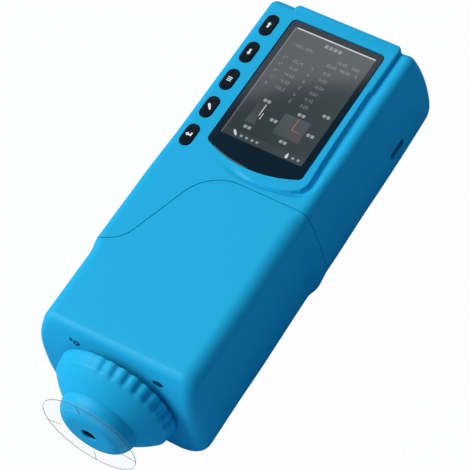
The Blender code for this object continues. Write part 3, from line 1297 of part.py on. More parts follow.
def add_screws(metal):
    up, down, forward = (0, 0, 1), (0, 0, -1), (0, -1, 0)
    screws("board_screw", [(x, y, BOARD_BASE - GAP) for x, y in board_boss_places()], up,
           SMALL_SHANK, SMALL_LENGTH, metal)
    trigger_seat = trigger_board_base() + BOARD_THICKNESS + GAP
    screws("trigger_screw", [(side * TRIGGER_POST_X, TRIGGER_Y, trigger_seat)
                             for side in (-1, 1)], down, SMALL_SHANK, SMALL_LENGTH, metal)
    sensor_seat = SENSOR_BOARD_FRONT + BOARD_THICKNESS + GAP
    screws("sensor_screw", [on_axis(side * SENSOR_PILLAR_X, 0, sensor_seat)
                            for side in (-1, 1)], forward, SMALL_SHANK, SMALL_LENGTH, metal)
    screws("collar_screw", [on_axis(x, z, FLANGE_FRONT + COLLAR_FLANGE + GAP)
                            for x, z in collar_screw_places()], forward, SMALL_SHANK,
           COLLAR_FLANGE + WALL / 2, metal)
    screws("frame_screw", [(x, y, FRAME_TOP + GAP) for x, y in frame_screw_places()], down,
           LARGE_SHANK, FRAME_SCREW_LENGTH, metal)
    screws("chassis_screw", [on_axis(x, z, CHASSIS_BACK + GAP) for x, z in chassis_post_places()],
           forward, LARGE_SHANK, CHASSIS_BACK - NOSE_LENGTH - WALL - 2 * GAP, metal)


def build():
    blue, gloss, moulding = blue_soft_touch(), black_gloss(), black_moulding()
    green, clear, white = board_green(), clear_plate(), sphere_white()
    metal, alloy, wrap, rubber = steel(), grey_alloy(), battery_wrap(), silicone()
    add_front_shell(blue)
    add_rear_housing(blue)
    add_display(gloss, moulding)
    add_keys(gloss, rubber)
    add_main_board(green, moulding)
    add_power_switch(moulding, rubber)
    add_ports(green, metal, moulding, rubber)
    add_inner_frame(moulding)
    add_battery(wrap, metal)
    add_battery_door(blue)
    add_trigger(blue, moulding, green)
    add_nose(blue, moulding, clear, rubber)
    add_sphere(white)
    add_light_source(green, moulding)
    add_chassis(alloy)
    add_sensor(green, moulding, metal)
    add_screws(metal)


build()
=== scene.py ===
# A handheld colour measuring instrument, dressed for a photograph like the one it was built
# from. It stands on its rest face, nose towards the camera's lower left, display up.

import math

import bpy
from mathutils import Matrix, Vector


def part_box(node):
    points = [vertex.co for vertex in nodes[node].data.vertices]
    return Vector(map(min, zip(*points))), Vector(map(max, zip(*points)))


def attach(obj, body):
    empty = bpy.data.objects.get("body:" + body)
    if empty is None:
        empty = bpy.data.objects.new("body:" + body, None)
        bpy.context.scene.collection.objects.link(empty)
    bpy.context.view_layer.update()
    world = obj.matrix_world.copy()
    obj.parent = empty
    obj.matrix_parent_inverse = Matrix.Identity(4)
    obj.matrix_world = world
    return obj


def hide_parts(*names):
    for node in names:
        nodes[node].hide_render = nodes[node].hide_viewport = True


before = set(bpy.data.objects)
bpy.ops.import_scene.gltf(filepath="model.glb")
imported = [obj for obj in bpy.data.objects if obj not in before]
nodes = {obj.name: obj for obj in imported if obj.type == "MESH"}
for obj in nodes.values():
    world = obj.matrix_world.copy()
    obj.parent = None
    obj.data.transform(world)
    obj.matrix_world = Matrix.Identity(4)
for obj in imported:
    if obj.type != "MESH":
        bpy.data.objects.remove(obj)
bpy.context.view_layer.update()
MM = 0.001

# Studio: a pale floor under the instrument, a large soft key lamp high on its left and a weak
# one behind it. The room is cool, so that unlit sides turn deep blue. The floor shows the
# camera a white page and still takes the instrument's shadow.
bpy.context.scene.view_settings.view_transform = "Standard"
PAGE_LEVEL = 0.985


class Field:
    """A number or colour that changes over a surface, for sums and products."""

    def __init__(self, finish, socket):
        self.finish = finish
        self.socket = socket

    def worked(self, operation, first, second):
        return self.finish.node("ShaderNodeMath", {"operation": operation}, {0: first, 1: second})

    def __add__(self, other):
        return self.worked("ADD", self, other)

    def __radd__(self, other):
        return self.worked("ADD", other, self)

    def __sub__(self, other):
        return self.worked("SUBTRACT", self, other)

    def __rsub__(self, other):
        return self.worked("SUBTRACT", other, self)

    def __mul__(self, other):
        return self.worked("MULTIPLY", self, other)

    def __rmul__(self, other):
        return self.worked("MULTIPLY", other, self)


class Finish:
    """One material: the sockets that are the same all over, and nodes for what varies."""

    def __init__(self, name, uniform):
        self.material = bpy.data.materials.new(name)
        self.material.use_nodes = True
        self.tree = self.material.node_tree
        self.shader = self.tree.nodes["Principled BSDF"]
        for socket, value in uniform.items():
            self.shader.inputs[socket].default_value = value

    def node(self, kind, settings, sockets, output=0):
        made = self.tree.nodes.new(kind)
        for setting, value in settings.items():
            setattr(made, setting, value)
        for socket, value in sockets.items():
            self.feed(made.inputs[socket], value)
        return Field(self, made.outputs[output])

    def feed(self, socket, value):
        if isinstance(value, Field):
            self.tree.links.new(value.socket, socket)
        else:
            socket.default_value = value

    def place(self):
        return self.node("ShaderNodeTexCoord", {}, {}, "Object")

    def noise(self, scale, detail=2.0):
        return self.node("ShaderNodeTexNoise", {}, {
            "Vector": self.place(), "Scale": scale, "Detail": detail}, "Fac")

    def ramp(self, axis, start, end):
        """A share that rises from 0 to 1 between two places, in mm, along an axis."""
        where = self.node("ShaderNodeSeparateXYZ", {}, {"Vector": self.place()}, axis)
        return self.node("ShaderNodeMapRange", {}, {
            "Value": where, "From Min": start * MM, "From Max": end * MM})

    def blend(self, share, first, second):
        """A colour between two, by a share from 0 to 1."""
        return self.node("ShaderNodeMix", {"data_type": "RGBA"}, {
            "Factor": share, 6: first, 7: second}, 2)

    def vary(self, socket, value):
        self.feed(self.shader.inputs[socket], value)

    def relief(self, height, depth, strength=1.0):
        self.vary("Normal", self.node("ShaderNodeBump", {}, {
            "Height": height, "Distance": depth, "Strength": strength}, "Normal"))


def select_nothing():
    bpy.ops.object.select_all(action="DESELECT")


def named(name):
    """The object that was just made, under a name of its own."""
    bpy.context.object.name = name
    return bpy.context.object


select_nothing()
bpy.ops.mesh.primitive_grid_add(x_subdivisions=8, y_subdivisions=8, size=6,
                                location=(0, 0, -0.3 * MM))
floor = named("studio_floor")
paper = Finish("studio_paper", {"Base Color": (0.14, 0.52, 0.70, 1), "Roughness": 0.9})
page = paper.node("ShaderNodeEmission", {}, {"Color": (1, 1, 1, 1)})
page_share = PAGE_LEVEL * paper.node("ShaderNodeLightPath", {}, {}, "Is Camera Ray")
paper_seen = paper.node("ShaderNodeMixShader", {}, {
    "Fac": page_share, 1: Field(paper, paper.shader.outputs[0]), 2: page})
paper.feed(paper.tree.nodes["Material Output"].inputs["Surface"], paper_seen)
floor.data.materials.append(paper.material)

world = bpy.data.worlds.new("studio_room")
bpy.context.scene.world = world
world.use_nodes = True
room_nodes, room_links = world.node_tree.nodes, world.node_tree.links
room = room_nodes["Background"]
room.inputs["Color"].default_value = (0.2, 0.66, 1, 1)
room.inputs["Strength"].default_value = 0.2
backdrop = room_nodes.new("ShaderNodeBackground")
backdrop.inputs["Color"].default_value = (1, 1, 1, 1)
room_seen = room_nodes.new("ShaderNodeLightPath")
room_mix = room_nodes.new("ShaderNodeMixShader")
room_links.new(room_seen.outputs["Is Camera Ray"], room_mix.inputs["Fac"])
room_links.new(room.outputs[0], room_mix.inputs[1])
room_links.new(backdrop.outputs[0], room_mix.inputs[2])
room_links.new(room_mix.outputs[0], room_nodes["World Output"].inputs["Surface"])


def edit_all():
    """Open the mesh that was just made, with all of it selected."""
    bpy.ops.object.mode_set(mode="EDIT")
    bpy.ops.mesh.select_all(action="SELECT")


def softbox(name, size, watts, where, aim):
    bpy.ops.object.light_add(type="AREA", location=where)
    lamp = named(name)
    lamp.data.size = size
    lamp.data.energy = watts
    lamp.rotation_euler = (Vector(where) - Vector(aim)).to_track_quat("Z", "Y").to_euler()


softbox("key_softbox", 1.0, 26, (-0.83, -0.5, 1.16), (0, 0, 0.03))
softbox("back_softbox", 0.8, 2, (0.2, 1.2, 0.6), (0, 0, 0.03))

# The panel's reflection: a lit wall panel with a curved lower edge, high behind the left
# side. Only glossy surfaces see it, so it adds no light of its own.
select_nothing()
card_edge = [(-600, 380), (-486, 450), (-464, 495), (-454, 504), (-444, 514), (-434, 524),
             (-412.5, 538.5), (-382.5, 553), (-340, 566), (-250, 580), (-250, 760), (-600, 760)]
bpy.ops.mesh.primitive_circle_add(vertices=len(card_edge), radius=0.1)
card = named("studio_panel")
for vertex, (x, y) in zip(card.data.vertices, card_edge):
    vertex.co = (x * MM, y * MM, 0.9)
edit_all()
bpy.ops.mesh.edge_face_add()
bpy.ops.object.mode_set(mode="OBJECT")
glow = Finish("studio_glow", {"Base Color": (0, 0, 0, 1), "Emission Strength": 1.35,
                              "Emission Color": (0.92, 0.97, 1, 1)})
card.data.materials.append(glow.material)
for ray in ("camera", "diffuse", "transmission", "volume_scatter", "shadow"):
    setattr(card, "visible_" + ray, False)

bpy.ops.object.camera_add(location=(0.4842, -0.4648, 1.0223))
camera = named("photo_camera")
camera_right = Vector((0.83279, 0.53169, -0.15416))
camera_up = Vector((-0.37946, 0.75101, 0.54037))
camera_back = Vector((0.40308, -0.39151, 0.82719))
camera.rotation_euler = Matrix((camera_right, camera_up, camera_back)).transposed().to_euler()
camera.data.sensor_width = 36
camera.data.lens = 224
bpy.context.scene.camera = camera


# Integrating sphere: two cups moulded in white reflective plastic, clamped between the
# nose collar and the chassis. Sprayed matt white inside, faintly chalky outside.
def grained(name, colour, other, roughness, spread, grain, depth, uniform=None):
    """A moulded or coated surface: cloudy colour, uneven gloss and a fine grain."""
    finish = Finish(name, uniform or {})
    cloud = finish.noise(60, 3)
    grit = finish.noise(grain, 2)
    finish.vary("Base Color", finish.blend(cloud, (*colour, 1), (*other, 1)))
    finish.vary("Roughness", roughness + spread * (grit - 0.5))
    finish.relief(grit, depth)
    return finish.material


def dress(material, *names):
    for name in names:
        for holder in nodes[name].material_slots:
            holder.material = material


sphere_white = grained("sphere_white", (0.83, 0.83, 0.80), (0.88, 0.88, 0.86),
                       0.92, 0.1, 2500, 0.02 * MM)
dress(sphere_white, "sphere_front", "sphere_rear")

# Light tube: the black moulded nylon tube between nose and sphere. The collar and the felt
# seal round it share its materials and are modelled with the nose.
moulded_black = grained("moulded_black", (0.018, 0.018, 0.02), (0.028, 0.028, 0.03),
                        0.5, 0.2, 1800, 0.02 * MM)
black_felt = grained("black_felt", (0.012, 0.012, 0.013), (0.03, 0.03, 0.032),
                     0.98, 0.04, 4200, 0.15 * MM, {"Sheen Weight": 0.5})
dress(moulded_black, "aperture_tube")

# Lamp ring, sensor board, main board, port board and trigger board: glass fibre laminate
# under green solder resist, with the copper's paths faintly raised under the lacquer.
laminate = Finish("board_laminate", {"Roughness": 0.34, "Coat Weight": 0.4,
                                     "Coat Roughness": 0.15})
weave = laminate.node("ShaderNodeTexBrick", {}, {
    "Vector": laminate.place(), "Scale": 320.0, "Mortar Size": 0.05,
    "Color1": (0.008, 0.1, 0.045, 1), "Color2": (0.01, 0.13, 0.055, 1),
    "Mortar": (0.02, 0.2, 0.09, 1)}, "Color")
laminate.vary("Base Color", laminate.blend(laminate.noise(90), weave, (0.006, 0.085, 0.04, 1)))
laminate.relief(laminate.noise(700), 0.03 * MM)
dress(laminate.material, "led_board", "sensor_board", "main_board", "port_board",
      "trigger_board")

# Optical chassis and sensor tube: die-cast and turned light alloy. The chassis carries the
# sphere on the front shell's bosses, and the tube leads light from the sphere to the sensor.
alloy = grained("cast_alloy", (0.33, 0.34, 0.35), (0.42, 0.43, 0.44), 0.42, 0.25, 1300,
                0.03 * MM, {"Metallic": 1.0})
dress(alloy, "optical_chassis", "sensor_tube")

# Chips, buzzer, light sensor, switches, battery plug and charge socket: black epoxy and
# moulded components soldered to their boards.
component_black = grained("component_black", (0.014, 0.014, 0.015), (0.03, 0.03, 0.032),
                          0.38, 0.25, 2600, 0.01 * MM)
dress(component_black, "processor", "buzzer", "light_sensor", "power_switch",
      "trigger_switch", "battery_connector", "charge_socket")

# Screws and the socket shell: zinc-plated steel, slightly yellowed, with a fine grain.
plated_steel = grained("plated_steel", (0.58, 0.58, 0.57), (0.68, 0.67, 0.62), 0.3, 0.3, 900,
                       0.01 * MM, {"Metallic": 1.0})
dress(plated_steel, "usb_socket", *(name for name in nodes if "screw" in name))

# Battery pack and inner frame: a shrink-wrapped cell block in a black moulded frame, which
# also ties the two shells together.
wrap = grained("battery_wrap", (0.02, 0.06, 0.22), (0.03, 0.08, 0.28), 0.32, 0.15, 240,
               0.12 * MM, {"Coat Weight": 0.3})
dress(wrap, "battery_pack")
dress(moulded_black, "inner_frame", "display_module")
dress(grained("key_rubber", (0.12, 0.12, 0.125), (0.16, 0.16, 0.165), 0.8, 0.15, 1500,
              0.03 * MM), "key_membrane")

# Front shell: the grip's half of the body, moulded in one piece and coated in blue soft
# paint. Its front face is domed, and its edges are broad on the right and tight along the top.
LENGTH_END = 102.5 * MM
FACE_Y = -79.5 * MM
CREST_HEIGHT, FACE_LEAN, FOOT_LEAN = 30 * MM, 5.8 * MM, 0.2 * MM
LEAN_POWER, LEAN_REACH = 2.7, 16 * MM
TIGHT_FILLET, LEFT_FILLET, BROAD_FILLET = 2.6 * MM, 3 * MM, 5.5 * MM
LEAST_RADIUS, LEAST_EDGE, MARGIN = 0.5 * MM, 0.4 * MM, 5 * MM
HEIGHT = 57.5 * MM
SEAM_RIGHT_Y = 13.2 * MM
SEAM_LEFT_Y = -34.2 * MM
GRIP_HALF, REAR_HALF, LEFT_STEP = 36.9 * MM, 38.4 * MM, 0.55 * MM
FLARE_SETBACK, FLARE_LENGTH = 5 * MM, 6 * MM
REAR_TAPER, REAR_BULGE, BULGE_HEIGHT = 1.6 * MM, 2.5 * MM, 34 * MM
REAR_FILLET = 3 * MM
BEND_START_Y = 26.5 * MM
WALL = 2.5 * MM
SEAM_GAP, GAP = 0.34 * MM, 0.3 * MM


def ease(value):
    value = min(max(value, 0), 1)
    return value * value * (3 - 2 * value)


def between(first, second, share):
    return first + (second - first) * share


def flare(y, seam_y):
    return ease((y - seam_y + FLARE_SETBACK) / FLARE_LENGTH + 1)


def taper(y):
    return REAR_TAPER * max((y - SEAM_RIGHT_Y) / (LENGTH_END - SEAM_RIGHT_Y), 0) ** 3


def right_side(y):
    return GRIP_HALF + (REAR_HALF - GRIP_HALF) * flare(y, SEAM_RIGHT_Y) - taper(y)


def left_side(y):
    start = SEAM_LEFT_Y - FLARE_SETBACK
    swell = (REAR_HALF - GRIP_HALF) * ease((y - start) / (SEAM_RIGHT_Y - start))
    return GRIP_HALF - LEFT_STEP * (1 - flare(y, SEAM_LEFT_Y)) + swell - taper(y)


# Half width and edge radius of the top at places along the body, all in mm.
RIGHT_TOP = ((-79.5, 37, 7.2), (-50, 37, 7.2), (-35, 36.9, 7.3), (-5, 36.2, 7.4), (9, 36, 7.2),
             (13.5, 35.5, 4.6), (20, 35.3, 4.2), (40, 35.1, 4), (60, 34.6, 3.9), (103, 34.5, 3.9))
LEFT_TOP = ((-79.5, 36.35, 5.5), (-41, 36.4, 5.5), (-33, 37.3, 4.2), (0, 37.1, 4), (30, 36.4, 4),
            (103, 36.3, 4))
# Radius of the lower edges along the body, in mm.
BASE_EDGE = ((-79.5, 15), (-45, 16.6), (6, 19.6), (16, 22.4), (50, 24.4), (103, 24.6))


def at(table, y):
    """The sizes at y, eased between the places of the table."""
    for (y_0, *first), (y_1, *second) in zip(table, table[1:]):
        if y <= y_1 * MM:
            share = ease((y / MM - y_0) / (y_1 - y_0))
            break
    return [between(a, b, share) * MM for a, b in zip(first, second)]


def face_lean(z):
    """How far the domed front face draws back above and below its crest."""
    if z > CREST_HEIGHT:
        return FACE_LEAN * ((z - CREST_HEIGHT) / (HEIGHT - CREST_HEIGHT)) ** LEAN_POWER
    return FOOT_LEAN * ((CREST_HEIGHT - z) / CREST_HEIGHT) ** 2


RIGHT_BOW, LEFT_BOW = (0.7 * MM, 2), (1.95 * MM, 4)
BOW_END = 60 * MM


def side_bow(y, share, most, power):
    """How far the side stands out between its edges; it dies away behind the grip."""
    return most * (1 - abs(2 * share - 1) ** power) * (1 - ease((y + BOW_END) / BOW_END))


def steps(kind, count):
    return [(kind, step / count) for step in range(count)]


# Points round the section; they lie closer by the groove, at the right of the top.
GROOVE_SHARE = 0.14
around = ([("top", GROOVE_SHARE * step / 36) for step in range(36)]
          + [("top", between(GROOVE_SHARE, 1, step / 84)) for step in range(84)]
          + steps("left_shoulder", 10) + steps("left", 12)
          + steps("left_base", 14) + steps("base", 14) + steps("right_base", 14)
          + steps("right", 12) + steps("right_shoulder", 12) + [("top", 0.0)])


def section(kind, share, y, inset):
    """A point of the body's section at y, pulled in by inset. The sides lean out downwards."""
    right, left = right_side(y) - inset, left_side(y) - inset
    top, base, low = HEIGHT - inset, inset, at(BASE_EDGE, y)[0] - inset
    if kind == "base":
        return between(low - left, right - low, share), base
    if kind == "left_base":
        angle = math.radians(180 + 90 * share)
        return low - left + low * math.cos(angle), base + low + low * math.sin(angle)
    if kind == "right_base":
        angle = math.radians(270 + 90 * share)
        return right - low + low * math.cos(angle), base + low + low * math.sin(angle)
    right_top, high_right = (size - inset for size in at(RIGHT_TOP, y))
    left_top, high_left = (size - inset for size in at(LEFT_TOP, y))
    high_right, high_left = max(high_right, LEAST_EDGE), max(high_left, LEAST_EDGE)
    if kind == "top":
        return between(right_top - high_right, high_left - left_top, share), top
    on_right = kind.startswith("right")
    half, upper, radius = ((right, right_top, high_right) if on_right
                           else (left, left_top, high_left))
    lean = math.atan(2 * (half - upper) / (top - radius - base - low))
    if kind.endswith("shoulder"):
        turn = share if on_right else 1 - share
        angle = between(lean, math.radians(90), turn)
        x = upper - radius + radius * math.cos(angle)
        z = top - radius + radius * math.sin(angle)
    else:
        rise = share if on_right else 1 - share
        edge = upper - radius + radius * math.cos(lean)
        bow = side_bow(y, rise, *(RIGHT_BOW if on_right else LEFT_BOW))
        x = half - (half - edge) * rise ** 2 + bow
        z = between(base + low, top - radius + radius * math.sin(lean), rise)
    return (x if on_right else -x), z


FILLETS = {"left": (LEFT_FILLET, LEFT_FILLET), "top": (TIGHT_FILLET, TIGHT_FILLET),
           "left_shoulder": (TIGHT_FILLET, LEFT_FILLET),
           "left_base": (LEFT_FILLET, BROAD_FILLET),
           "right_shoulder": (BROAD_FILLET, TIGHT_FILLET)}


def face_fillet(kind, share):
    """Radius round the front face: tight along the top, broad down the right and below."""
    first, second = FILLETS.get(kind, (BROAD_FILLET, BROAD_FILLET))
    return between(first, second, ease(share))


def rear_drop(z):
    return REAR_BULGE * ((z - BULGE_HEIGHT) / (HEIGHT - BULGE_HEIGHT)) ** 2


VALLEY_DEPTH, FRONT_DEPTH, RIM_DROP, GROOVE_FOOT = 2.2 * MM, 1.35 * MM, 1.2 * MM, 46 * MM
STEEP_SIDE, STEEP_FRONT, STEEP_END = 1.4 * MM, 0.7 * MM, 4 * MM
GENTLE_SIDE, GENTLE_FRONT = 3.4 * MM, 2.1 * MM
valley_line = [Vector((x * MM, y * MM)) for x, y in (
    (27.2, 112), (27.3, 95.2), (27.4, 70.7), (27.8, 49.2), (28.2, 36.8), (28.7, 29),
    (28.6, 24.8), (27, 21.4), (23.3, 19.2), (18.6, 17.8), (13.1, 16.7), (6.1, 16.3),
    (-1.5, 16.8), (-7.1, 17.9), (-14.5, 20), (-19.3, 22.2), (-23, 25))]


def valley(x, y):
    """Depth of the groove along the platform: steep on the display's side, gentler beyond.

    Beside the display the rim beyond it also lies a little lower than the platform. The
    groove is shallower along the front. along counts the places of valley_line.
    """
    if y < 10 * MM or x < -26 * MM:
        return 0
    spot, nearest, side, along = Vector((x, y)), 1.0, 1, 0
    for number, (start, end) in enumerate(zip(valley_line, valley_line[1:])):
        run = end - start
        share = min(max((spot - start).dot(run) / run.length_squared, 0), 1)
        away = spot - start - run * share
        if away.length < nearest:
            nearest, along = away.length, number + share
            side = run.x * away.y - run.y * away.x
    front = ease((along - 6.5) / 3)
    depth = between(VALLEY_DEPTH, FRONT_DEPTH, front) * (1 - ease((along - 8.2) / 6.6))
    if side < 0:
        width = between(between(STEEP_SIDE, STEEP_FRONT, front), STEEP_END,
                        ease((along - 10.7) / 2.3))
        return depth * ease(1 - nearest / width)
    rim = RIM_DROP * (1 - ease((along - 3) / 2.5))
    share = max(0, 1 - nearest / between(GENTLE_SIDE, GENTLE_FRONT, front))
    return rim + (depth - rim) * between(ease(share), share * share, front)


FILLET_RINGS, END_SHARES = 8, (0.95, 0.9, 0.82, 0.72, 0.6, 0.4, 0.15)
first_y, last_y = FACE_Y + BROAD_FILLET, LENGTH_END - REAR_FILLET
stations = []
for start, end, count in ((first_y, 10 * MM, 54), (10 * MM, 13.5 * MM, 7),
                          (13.5 * MM, 26 * MM, 50), (26 * MM, 34 * MM, 16),
                          (34 * MM, last_y, 45)):
    stations += [between(start, end, step / count) for step in range(count)]
stations.append(last_y)


def set_down(x, y, z, share=1):
    """The point lowered by the groove, which acts on the top and dies away down the sides."""
    return Vector((x, y, z - share * valley(x, y) * ease((z - GROOVE_FOOT) / (10 * MM))))


def body_vertex(row, column, wall):
    """A point of the outer skin, or of the inner one that lies a wall's thickness inside."""
    kind, share = around[column]
    radius = max(face_fillet(kind, share) - wall, LEAST_RADIUS)
    if row < len(END_SHARES):
        x, z = section(kind, share, FACE_Y, wall + radius)
        inner = END_SHARES[-1 - row]
        x, z = x * inner, CREST_HEIGHT + (z - CREST_HEIGHT) * inner
        return Vector((x, FACE_Y + wall + face_lean(z), z))
    row -= len(END_SHARES)
    if row <= FILLET_RINGS:
        angle = math.radians(90) * row / FILLET_RINGS
        y = FACE_Y + wall + radius * (1 - math.cos(angle))
        x, z = section(kind, share, y, wall + radius * (1 - math.sin(angle)))
        return Vector((x, y + face_lean(z) * (1 - ease((y - FACE_Y) / LEAN_REACH)), z))
    row -= FILLET_RINGS
    share_of_groove = 0 if wall else 1
    if row < len(stations):
        y = stations[row]
        x, z = section(kind, share, y, wall)
        bend = ease((y - BEND_START_Y) / (last_y - BEND_START_Y))
        lean = face_lean(z) * (1 - ease((y - FACE_Y) / LEAN_REACH))
        return set_down(x, y + lean - rear_drop(z) * bend, z, share_of_groove)
    row -= len(stations) - 1
    rear = max(REAR_FILLET - wall, LEAST_RADIUS)
    if row <= FILLET_RINGS:
        angle = math.radians(90) * row / FILLET_RINGS
        x, z = section(kind, share, last_y, wall + rear * (1 - math.cos(angle)))
        y = last_y + (REAR_FILLET - wall) * math.sin(angle) - rear_drop(z)
        return set_down(x, y, z, share_of_groove * (1 - 0.6 * row / FILLET_RINGS))
    inner = END_SHARES[row - FILLET_RINGS - 1]
    x, z = section(kind, share, last_y, wall + rear)
    x, z = x * inner, BULGE_HEIGHT + (z - BULGE_HEIGHT) * inner
    return Vector((x, LENGTH_END - wall - rear_drop(z), z))


def close_outwards():
    """Turn every face of the open mesh outwards and leave edit mode."""
    bpy.ops.mesh.select_all(action="SELECT")
    bpy.ops.mesh.normals_make_consistent(inside=False)
    bpy.ops.object.mode_set(mode="OBJECT")


def body_skin(name, wall):
    """A grid rolled up into the whole body and closed at both ends."""
    select_nothing()
    rows = 2 * FILLET_RINGS + len(stations) - 1 + 2 * len(END_SHARES)
    columns = len(around) - 1
    bpy.ops.mesh.primitive_grid_add(x_subdivisions=columns, y_subdivisions=rows, size=0.1)
    skin = named(name)
    for index, vertex in enumerate(skin.data.vertices):
        vertex.co = body_vertex(index // (columns + 1), index % (columns + 1), wall)
    edit_all()
    bpy.ops.mesh.remove_doubles(threshold=0.01 * MM)
    bpy.ops.mesh.select_all(action="DESELECT")
    bpy.ops.mesh.select_non_manifold()
    bpy.ops.mesh.fill_holes(sides=0)
    close_outwards()
    return skin


def select_only(*pieces):
    """Select these pieces and make the first one active."""
    select_nothing()
    for piece in pieces:
        piece.select_set(True)
    bpy.context.view_layer.objects.active = pieces[0]


def own_copy(piece, name):
    select_only(piece)
    bpy.ops.object.duplicate()
    return named(name)


def finish_with(piece, kind, settings):
    """Add a modifier to a piece and apply it."""
    step = piece.modifiers.new(kind.lower(), kind)
    for setting, value in settings.items():
        setattr(step, setting, value)
    bpy.context.view_layer.objects.active = piece
    bpy.ops.object.modifier_apply(modifier=step.name)


def carve(piece, tool, operation="DIFFERENCE"):
    finish_with(piece, "BOOLEAN", {"operation": operation, "solver": "EXACT", "object": tool})
    bpy.data.objects.remove(tool, do_unlink=True)


def round_edges(piece, width, segments):
    finish_with(piece, "BEVEL", {"width": width, "segments": segments, "limit_method": "ANGLE"})


def outline_block(name, points, base, top):
    """A ring of points bent to an outline, filled, and extruded to its height."""
    select_nothing()
    bpy.ops.mesh.primitive_circle_add(vertices=len(points), radius=0.02)
    block = named(name)
    for vertex, (x, y) in zip(block.data.vertices, points):
        vertex.co = (x, y, base)
    edit_all()
    bpy.ops.mesh.edge_face_add()
    bpy.ops.mesh.extrude_region_move(TRANSFORM_OT_translate={"value": (0, 0, top - base)})
    close_outwards()
    return block


def cube_between(name, low, high):
    select_nothing()
    low, high = Vector(low), Vector(high)
    bpy.ops.mesh.primitive_cube_add(size=1, location=(low + high) / 2, scale=high - low)
    bpy.ops.object.transform_apply()
    return named(name)


def rod_between(name, start, end, radius, sides=64):
    select_nothing()
    start, end = Vector(start), Vector(end)
    turn = (end - start).to_track_quat("Z", "Y").to_euler()
    bpy.ops.mesh.primitive_cylinder_add(vertices=sides, radius=radius, rotation=turn,
                                        depth=(end - start).length, location=(start + end) / 2)
    bpy.ops.object.transform_apply()
    return named(name)


def round_oblong(width, length, radius, centre=(0, 0), count=8):
    """A rectangle with round corners, as points."""
    points = []
    for corner, (side_x, side_y) in enumerate(((1, 1), (-1, 1), (-1, -1), (1, -1))):
        for step in range(count + 1):
            angle = math.radians(90 * (corner + step / count))
            points.append((centre[0] + side_x * (width / 2 - radius) + radius * math.cos(angle),
                           centre[1] + side_y * (length / 2 - radius) + radius * math.sin(angle)))
    return points


def soften(piece, angle=35):
    """Smooth shading, broken at the piece's own sharp edges."""
    select_only(piece)
    bpy.ops.object.shade_smooth_by_angle(angle=math.radians(angle))


def settle(piece, material, body, slot, *replaced):
    """Give a finished piece its material and its place in the assembly."""
    piece.data.materials.clear()
    piece.data.materials.append(material)
    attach(piece, body)
    if replaced:
        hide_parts(*replaced)


SEAM_SLANT, SEAM_CORNER_X = math.radians(18.9), -11.5 * MM
SEAM_RIGHT_RADIUS, SEAM_LEFT_RADIUS, SEAM_REACH = 19.6 * MM, 15 * MM, 0.2


def round_corner(corner, before, after, radius):
    """The points of a round corner between the two directions that leave it."""
    turn = math.pi - before.angle(after)
    reach = radius * math.tan(turn / 2)
    start, end = corner + before * reach, corner + after * reach
    centre = corner + (before + after).normalized() * (radius / math.cos(turn / 2))
    first, last = start - centre, end - centre
    sweep = first.angle_signed(last)
    points = []
    for step in range(25):
        arm = first.copy()
        arm.rotate(Matrix.Rotation(-sweep * step / 24, 2))
        points.append(tuple(centre + arm))
    return points


def grip_outline(grow):
    """The front shell seen from above, with its wavy edge pushed rearwards by grow."""
    along = Vector((-math.sin(SEAM_SLANT), -math.cos(SEAM_SLANT)))
    outward = Vector((-math.cos(SEAM_SLANT), math.sin(SEAM_SLANT)))
    right_y, left_y = SEAM_RIGHT_Y + grow, SEAM_LEFT_Y + grow
    anchor = Vector((SEAM_CORNER_X, SEAM_RIGHT_Y)) + outward * grow
    first = anchor + along * ((right_y - anchor.y) / along.y)
    second = anchor + along * ((left_y - anchor.y) / along.y)
    points = [(SEAM_REACH, right_y)]
    points += round_corner(first, Vector((1, 0)), along, SEAM_RIGHT_RADIUS + grow)
    points += round_corner(second, -along, Vector((-1, 0)), SEAM_LEFT_RADIUS - grow)
    return points + [(-SEAM_REACH, left_y), (-SEAM_REACH, -SEAM_REACH), (SEAM_REACH, -SEAM_REACH)]


blue = Finish("blue_soft_touch", {"Specular IOR Level": 0.25,
                                   "Specular Tint": (0.55, 0.85, 1, 1)})
flow = blue.noise(18, 3)
grain = blue.noise(3200, 2)
blue.vary("Base Color", blue.blend(flow, (0.013, 0.41, 0.70, 1), (0.017, 0.435, 0.73, 1)))
blue.vary("Roughness", 0.46 + 0.12 * (grain - 0.5) + 0.05 * (flow - 0.5))
blue.relief(grain, 0.012 * MM, 0.6)

whole_body = body_skin("whole_body", 0)
carve(whole_body, body_skin("hollow", WALL))
front_shell = own_copy(whole_body, "front_shell_coat")
carve(front_shell, outline_block("grip_cut", grip_outline(-SEAM_GAP / 2), -MARGIN,
                                 HEIGHT + MARGIN), "INTERSECT")
TIP_Y, AXIS_Z, TRIGGER_Y = -102.5 * MM, 32 * MM, -22 * MM
TRIGGER_WIDTH, TRIGGER_LENGTH, TRIGGER_ROUND = 18 * MM, 22 * MM, 2.5 * MM
carve(front_shell, rod_between("nose_hole", (0, FACE_Y - 4 * MM, AXIS_Z),
                               (0, FACE_Y + 14 * MM, AXIS_Z), 18 * MM, 128))
carve(front_shell, outline_block("trigger_cut", round_oblong(
    TRIGGER_WIDTH + 2 * GAP, TRIGGER_LENGTH + 2 * GAP, TRIGGER_ROUND + GAP, (0, TRIGGER_Y)),
    -2 * MM, WALL + 2 * MM))
soften(front_shell)
settle(front_shell, blue.material, "housing", "blue_soft_touch", "front_shell")

# Lock marks: two small signs in dark ink on the domed face, an open ring with a dot for
# loose and a full oval for tight.
ink = grained("dark_ink", (0.002, 0.045, 0.1), (0.004, 0.055, 0.12), 0.5, 0.1, 2500, 0.005 * MM)


MARK_THICKNESS, MARK_RISE, HOLE_RISE = 0.3 * MM, 0.04 * MM, 0.1 * MM


